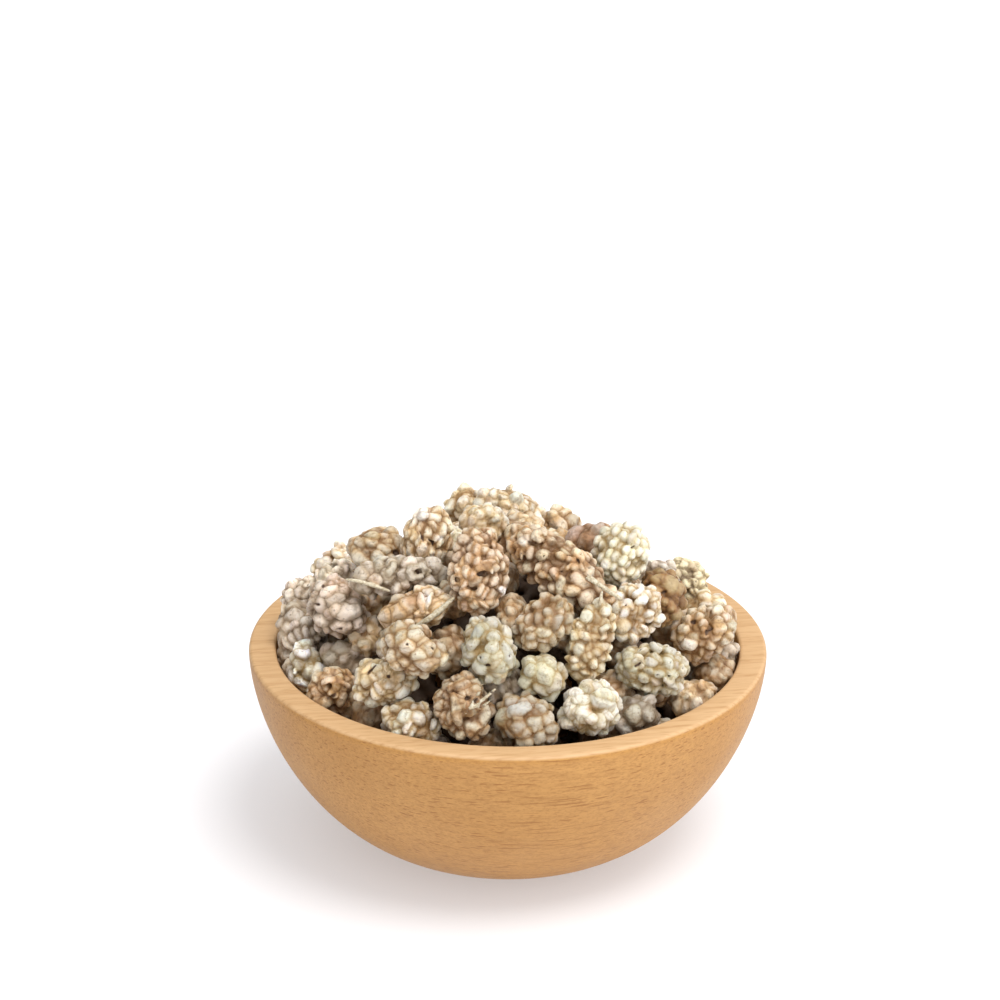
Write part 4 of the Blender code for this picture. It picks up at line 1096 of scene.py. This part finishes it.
def make_mulberries(slots, finishes, top):
    """A piece for each mulberry node of the outer layer. Their ovoids are kept for the ones beneath."""
    ovoids = []
    coarser = 1.0
    for node in sorted(name for name in frame["nodes"] if name.startswith("mulberry_")):
        number = int(node.rsplit("_", 1)[1])
        tone = slots[node].rsplit("_", 1)[1]
        ovoid, knobs, hollows = read_ovoid(node_points(node))
        ovoids.append(ovoid)
        draw = np.random.default_rng([SEED, number])
        look = LOOKS.get(number, FAR_LOOKS[number % len(FAR_LOOKS)])
        voxel = (NEAR_VOXEL if number <= NEAR_COUNT else FAR_VOXEL) * coarser
        points, faces, numbers = mulberry(ovoid, knobs, hollows, look, voxel, draw)
        points[:, 2] -= max(0.0, points[:, 2].max() - top)
        add_piece(f"dried_{node}", points, faces, numbers, finishes[tone], slots[node], node)
    return ovoids


# The mulberries beneath

def inner_radius(height):
    """The radius of the bowl's inside at a height, and of the rim's inside above it."""
    inner = rim_radius - WALL
    share = np.clip((bowl_height - height) / (bowl_height - FLOOR), 0.0, 1.0)
    return FOOT_RADIUS + (inner - FOOT_RADIUS) * np.sqrt(1.0 - share ** (2.0 / OUTER_POWER))


def bed_height(x, y):
    """The height of the bed at a place."""
    dome = BED_FALL * (np.hypot(x, y) / BED_REACH) ** BED_POWER
    behind = np.clip((y - BACK_START) / BACK_RUN, 0.0, 1.0)
    return bowl_height + BED_RISE - dome - BACK_DROP * behind**2 * (3.0 - 2.0 * behind)


def bed_normal(point):
    """The bed's upward normal under a point, or under each of an array of points."""
    x, y = point[..., 0], point[..., 1]
    level = bed_height(x, y)
    slope_x = (bed_height(x + SLOPE_STEP, y) - level) / SLOPE_STEP
    slope_y = (bed_height(x, y + SLOPE_STEP) - level) / SLOPE_STEP
    return rows(np.stack([-slope_x, -slope_y, np.ones_like(level)], axis=-1))


def above_bed(points):
    """How far each point is above the bed, square to it."""
    return (points[..., 2] - bed_height(points[..., 0], points[..., 1])) * bed_normal(points)[..., 2]


def from_wall(points):
    """How far each point is inside the bowl's wall, measured level."""
    return inner_radius(points[..., 2]) - np.hypot(points[..., 0], points[..., 1])


def laid(centre, along, side, half):
    """An ovoid with its long axis along one of two directions that are square to each other."""
    return Ovoid(centre, np.stack([along, side, np.cross(along, side)]), np.array(half))


def spiral(count, radius):
    """Points spread evenly over a disc."""
    for number in range(count):
        away = radius * math.sqrt((number + 0.5) / count)
        yield away * math.cos(number * GOLDEN_TURN), away * math.sin(number * GOLDEN_TURN)


def sphere_points(count):
    """Directions spread evenly over a sphere."""
    height = 1.0 - (2.0 * np.arange(count) + 1.0) / count
    level = np.sqrt(1.0 - height**2)
    turn = np.arange(count) * GOLDEN_TURN
    return np.column_stack([height, level * np.cos(turn), level * np.sin(turn)])


def second_layer():
    """The mulberries that the photograph shows beneath the outer ones, where sight lines meet the bed."""
    ahead, picture_right, picture_up = picture_axes()
    for seen in SECOND:
        right, up = (seen.x - RIM_PIXEL[0]) / PIXELS_PER_MM, (RIM_PIXEL[1] - seen.y) / PIXELS_PER_MM
        along = rows(SIGHT_REACH * ahead + right * picture_right + up * picture_up)
        eye = np.array([0.0, 0.0, bowl_height]) - SIGHT_REACH * ahead
        half, girth = seen.length / 2, seen.width / 2
        reach = np.arange(SIGHT_REACH - rim_radius, SIGHT_REACH + rim_radius, SIGHT_STEP)
        places = eye + reach[:, None] * along
        above = above_bed(places)
        above[from_wall(places) < girth + SECOND_WALL_GAP] = rim_radius
        high_enough = bowl_height - places[:, 2] > seen.under
        reached = np.flatnonzero((above < -SECOND_SINK) | high_enough & (above < rim_radius))
        centre = places[reached[0] if len(reached) else above.argmin()]
        lean = math.radians(seen.lean)
        shown = math.cos(lean) * picture_right + math.sin(lean) * picture_up
        axis = rows(shown - (shown @ along) * along)
        yield laid(centre, axis, rows(np.cross(axis, along)), (half, girth, girth)), seen.tone


def in_gaps(ovoids, draw):
    """Ovoids for the gaps, each as far out along the bed's normal as the outer layer lets it."""
    spheres = [one.centre + (BALL_PLACES * one.radii[0])[:, None] * one.axes[0] for one in ovoids]
    spheres = np.concatenate(spheres)
    radii = np.concatenate([BALL_SIZES * one.radii[1] for one in ovoids])
    ground = np.array([(x, y, bed_height(x, y)) for x, y in spiral(GAP_PLACES, BED_REACH)])
    normal = bed_normal(ground)
    found = []
    for size in np.linspace(*BENEATH_SIZE, BENEATH_COUNT):
        half = size / 2
        rise = np.linspace(-half, BENEATH_RISE * half, GAP_STEPS)
        places = ground[:, None] + rise[None, :, None] * normal[:, None]
        free = from_wall(places) > half + WALL_GAP
        for sphere, radius in zip(spheres, radii):
            free &= ((places - sphere) ** 2).sum(axis=-1) > (half + radius) ** 2
        steps = np.cumprod(free, axis=1).sum(axis=1)
        best = int(np.argmax(steps))
        if steps[best] == 0 or rise[steps[best] - 1] + half < BENEATH_SHOW:
            continue
        centre = places[best, steps[best] - 1]
        turn = draw.uniform(0.0, math.pi)
        level = rows(np.cross(normal[best], [math.cos(turn), math.sin(turn), 0.0]))
        girth = BENEATH_SLIMNESS * half
        found.append(laid(centre, level, normal[best], (half, girth, girth)))
        spheres = np.concatenate([spheres, centre[None]])
        radii = np.append(radii, half - BENEATH_SINK)
    return found


def heap_core():
    """A beaded mound under all the mulberries, which fills the bowl to the bed."""
    middle = np.array([0.0, 0.0, CORE_MIDDLE])
    directions = sphere_points(CORE_BEADS)
    low, high = np.zeros(len(directions)), np.full(len(directions), 2 * rim_radius)
    for _ in range(CORE_ROUNDS):
        reach = (low + high) / 2
        points = middle + reach[:, None] * directions
        bowl_gap = np.minimum(from_wall(points) - WALL_GAP, points[:, 2] - FLOOR - WALL_GAP)
        clear = np.minimum(bowl_gap, -above_bed(points)) > CORE_MARGIN
        low, high = np.where(clear, reach, low), np.where(clear, high, reach)
    return middle + low[:, None] * directions, directions


def make_beneath(ovoids, finishes):
    """The mulberries in the gaps, gathered by tone, and the mound under them, dark with painted shade."""
    draw = np.random.default_rng([SEED, BENEATH_SEED])
    coarser = 1.0
    gathered = {}
    second = list(second_layer())
    found = in_gaps([*ovoids, *(ovoid for ovoid, _ in second)], draw)
    second += [(ovoid, BENEATH_TONES[number % len(BENEATH_TONES)]) for number, ovoid in enumerate(found)]
    for ovoid, tone in second:
        scatter = draw.normal(0.0, BENEATH_SCATTER, (BENEATH_KNOBS, 3))
        directions = rows(sphere_points(BENEATH_KNOBS) + scatter)
        made = mulberry(ovoid, directions, directions[:0], BENEATH_LOOK, BENEATH_VOXEL * coarser, draw)
        gathered.setdefault(tone, []).append(made)
    slot = "dried_mulberry_shade"
    for tone, several in gathered.items():
        starts = np.cumsum([0] + [len(points) for points, _, _ in several])
        points = np.concatenate([points for points, _, _ in several])
        faces = np.concatenate([faces + start for (_, faces, _), start in zip(several, starts)])
        numbers = {name: np.concatenate([one[2][name] for one in several]) for name in several[0][2]}
        name = f"mulberries_beneath_{tone}"
        add_piece(name, points, faces, numbers, finishes[tone], slot, "mulberries_beneath")
    core, directions = heap_core()
    count = len(core)
    axes = crossed(directions, np.roll(directions, 1, axis=1))
    sizes = np.column_stack([np.full(count, CORE_RISE), draw.uniform(*CORE_WIDTHS, (count, 2))])
    beads = Beads(core - directions, axes, sizes, np.arange(count) + 1, np.zeros(count))
    points, faces = wrapped(beads, CORE_VOXEL * coarser)
    low = np.zeros(len(points))
    names = ("crease", "flank", "depth", "variety", "pore", "husk", "amber", "chalk")
    numbers = dict.fromkeys(names, low)
    # Painted shade: the mound is browned as if deep everywhere and tinted darker, in the shade tone.
    numbers["depth"] = numbers["variety"] = low + CORE_PAINTED_SHADE
    numbers["tint"] = np.ones((len(points), 3)) * CORE_SHADE_TINT
    add_piece("mulberries_core", points, faces, numbers, finishes["shade"], slot, "mulberries_beneath")


# The setting

FLOOR_REACH = 8.0
FLOOR_DROP = 0.0001
FLOOR_COLOUR = (0.52, 0.515, 0.525)
FLOOR_GLOW = (0.98, 0.97, 0.98)
FLOOR_GLOW_STRENGTH = 0.40
SKY_COLOUR = (0.97, 0.98, 1.0)
SKY_FROM = (0.52, -0.40, 0.755)
SKY_FADE = {"From Min": -0.3, "From Max": 0.9, "To Min": 0.0, "To Max": 1.7}
KEY_FROM = (0.26, -0.34, 1.0)
KEY_STRENGTH = 1.8
KEY_SPREAD = math.radians(26)
KEY_COLOUR = (1.0, 0.985, 0.96)
FARTHEST_SEEN = 50.0


def make_floor():
    """A pale floor that glows a little, just under the bowl's foot."""
    mesh = bpy.data.meshes.new("floor")
    turns = ((-1, -1), (1, -1), (1, 1), (-1, 1))
    corners = [(x * FLOOR_REACH, y * FLOOR_REACH, -FLOOR_DROP) for x, y in turns]
    mesh.from_pydata(corners, [], [(0, 1, 2, 3)])
    finish = Finish("pale_floor")
    finish.set(
        Base_Color=FLOOR_COLOUR,
        Roughness=0.9,
        Specular_IOR_Level=0.1,
        Emission_Color=FLOOR_GLOW,
        Emission_Strength=FLOOR_GLOW_STRENGTH,
    )
    mesh.materials.append(finish.material)
    added("floor", mesh)


def make_lights():
    """A sky that is brighter from the near right, and a broad soft sun from there."""
    world = bpy.data.worlds.new("studio")
    bpy.context.scene.world = world
    world.use_nodes = True
    made = Nodes(world.node_tree)
    sky = world.node_tree.nodes["Background"]
    place = made.node("ShaderNodeTexCoord")["Generated"]
    facing = made.node("ShaderNodeVectorMath", {0: place, 1: SKY_FROM}, operation="DOT_PRODUCT")["Value"]
    strength = made.node("ShaderNodeMapRange", {"Value": facing, **SKY_FADE})["Result"]
    made.put(SKY_COLOUR, sky.inputs["Color"])
    made.put(strength, sky.inputs["Strength"])
    key = bpy.data.lights.new("key", "SUN")
    key.energy = KEY_STRENGTH
    key.angle = KEY_SPREAD
    key.color = KEY_COLOUR
    lamp = added("key", key)
    lamp.rotation_mode = "QUATERNION"
    lamp.rotation_quaternion = Vector(KEY_FROM).to_track_quat("Z", "Y")


def make_camera(height):
    """The photograph's own view."""
    ahead, right, up = (Vector(axis) for axis in picture_axes())
    focus = PIXELS_PER_MM * SIGHT_REACH
    yaw = math.atan((RIM_PIXEL[0] - PICTURE_SIDE / 2) / focus)
    pitch = math.atan((PICTURE_SIDE / 2 - RIM_PIXEL[1]) / focus)
    turn = Matrix.Rotation(yaw, 4, up) @ Matrix.Rotation(-pitch, 4, right)
    camera = added("camera", bpy.data.cameras.new("camera"))
    camera.data.sensor_width = SENSOR
    camera.data.lens = focus / PICTURE_SIDE * SENSOR
    place = Matrix((turn @ right, turn @ up, -(turn @ ahead))).transposed().to_4x4()
    place.translation = (Vector((0.0, 0.0, height)) - SIGHT_REACH * ahead) * MM
    camera.matrix_world = place
    camera.data.clip_end = FARTHEST_SEEN
    bpy.context.scene.camera = camera


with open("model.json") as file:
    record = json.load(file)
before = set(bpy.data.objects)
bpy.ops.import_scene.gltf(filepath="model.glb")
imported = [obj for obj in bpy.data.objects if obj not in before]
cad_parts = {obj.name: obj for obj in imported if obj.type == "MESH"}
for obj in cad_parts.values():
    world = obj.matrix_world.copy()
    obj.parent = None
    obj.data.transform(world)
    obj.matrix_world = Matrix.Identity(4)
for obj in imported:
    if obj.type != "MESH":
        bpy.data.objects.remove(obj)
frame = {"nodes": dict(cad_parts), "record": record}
cad_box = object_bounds()
low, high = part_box("bowl")
rim_radius = (high.x - low.x) / 2 / MM
bowl_height = high.z / MM
slot_of = {part["node"]: part["material_slot"] for part in frame["record"]["subparts"]}
colour_of = {material["slot"]: material["base_color"] for material in frame["record"]["materials"]}
BALL = ball()

bowl = make_bowl(rim_radius, bowl_height, beech_material(colour_of["beech"]))
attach(bowl, "root")
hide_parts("bowl")
fruit = {tone: fruit_material(tone, colour_of[f"dried_mulberry_{tone}"]) for tone in TONES}
outer_ovoids = make_mulberries(slot_of, fruit, cad_box[1][2] / MM)
make_beneath(outer_ovoids, fruit)
make_floor()
make_lights()
make_camera(bowl_height)
bpy.context.scene.view_settings.view_transform = "Standard"
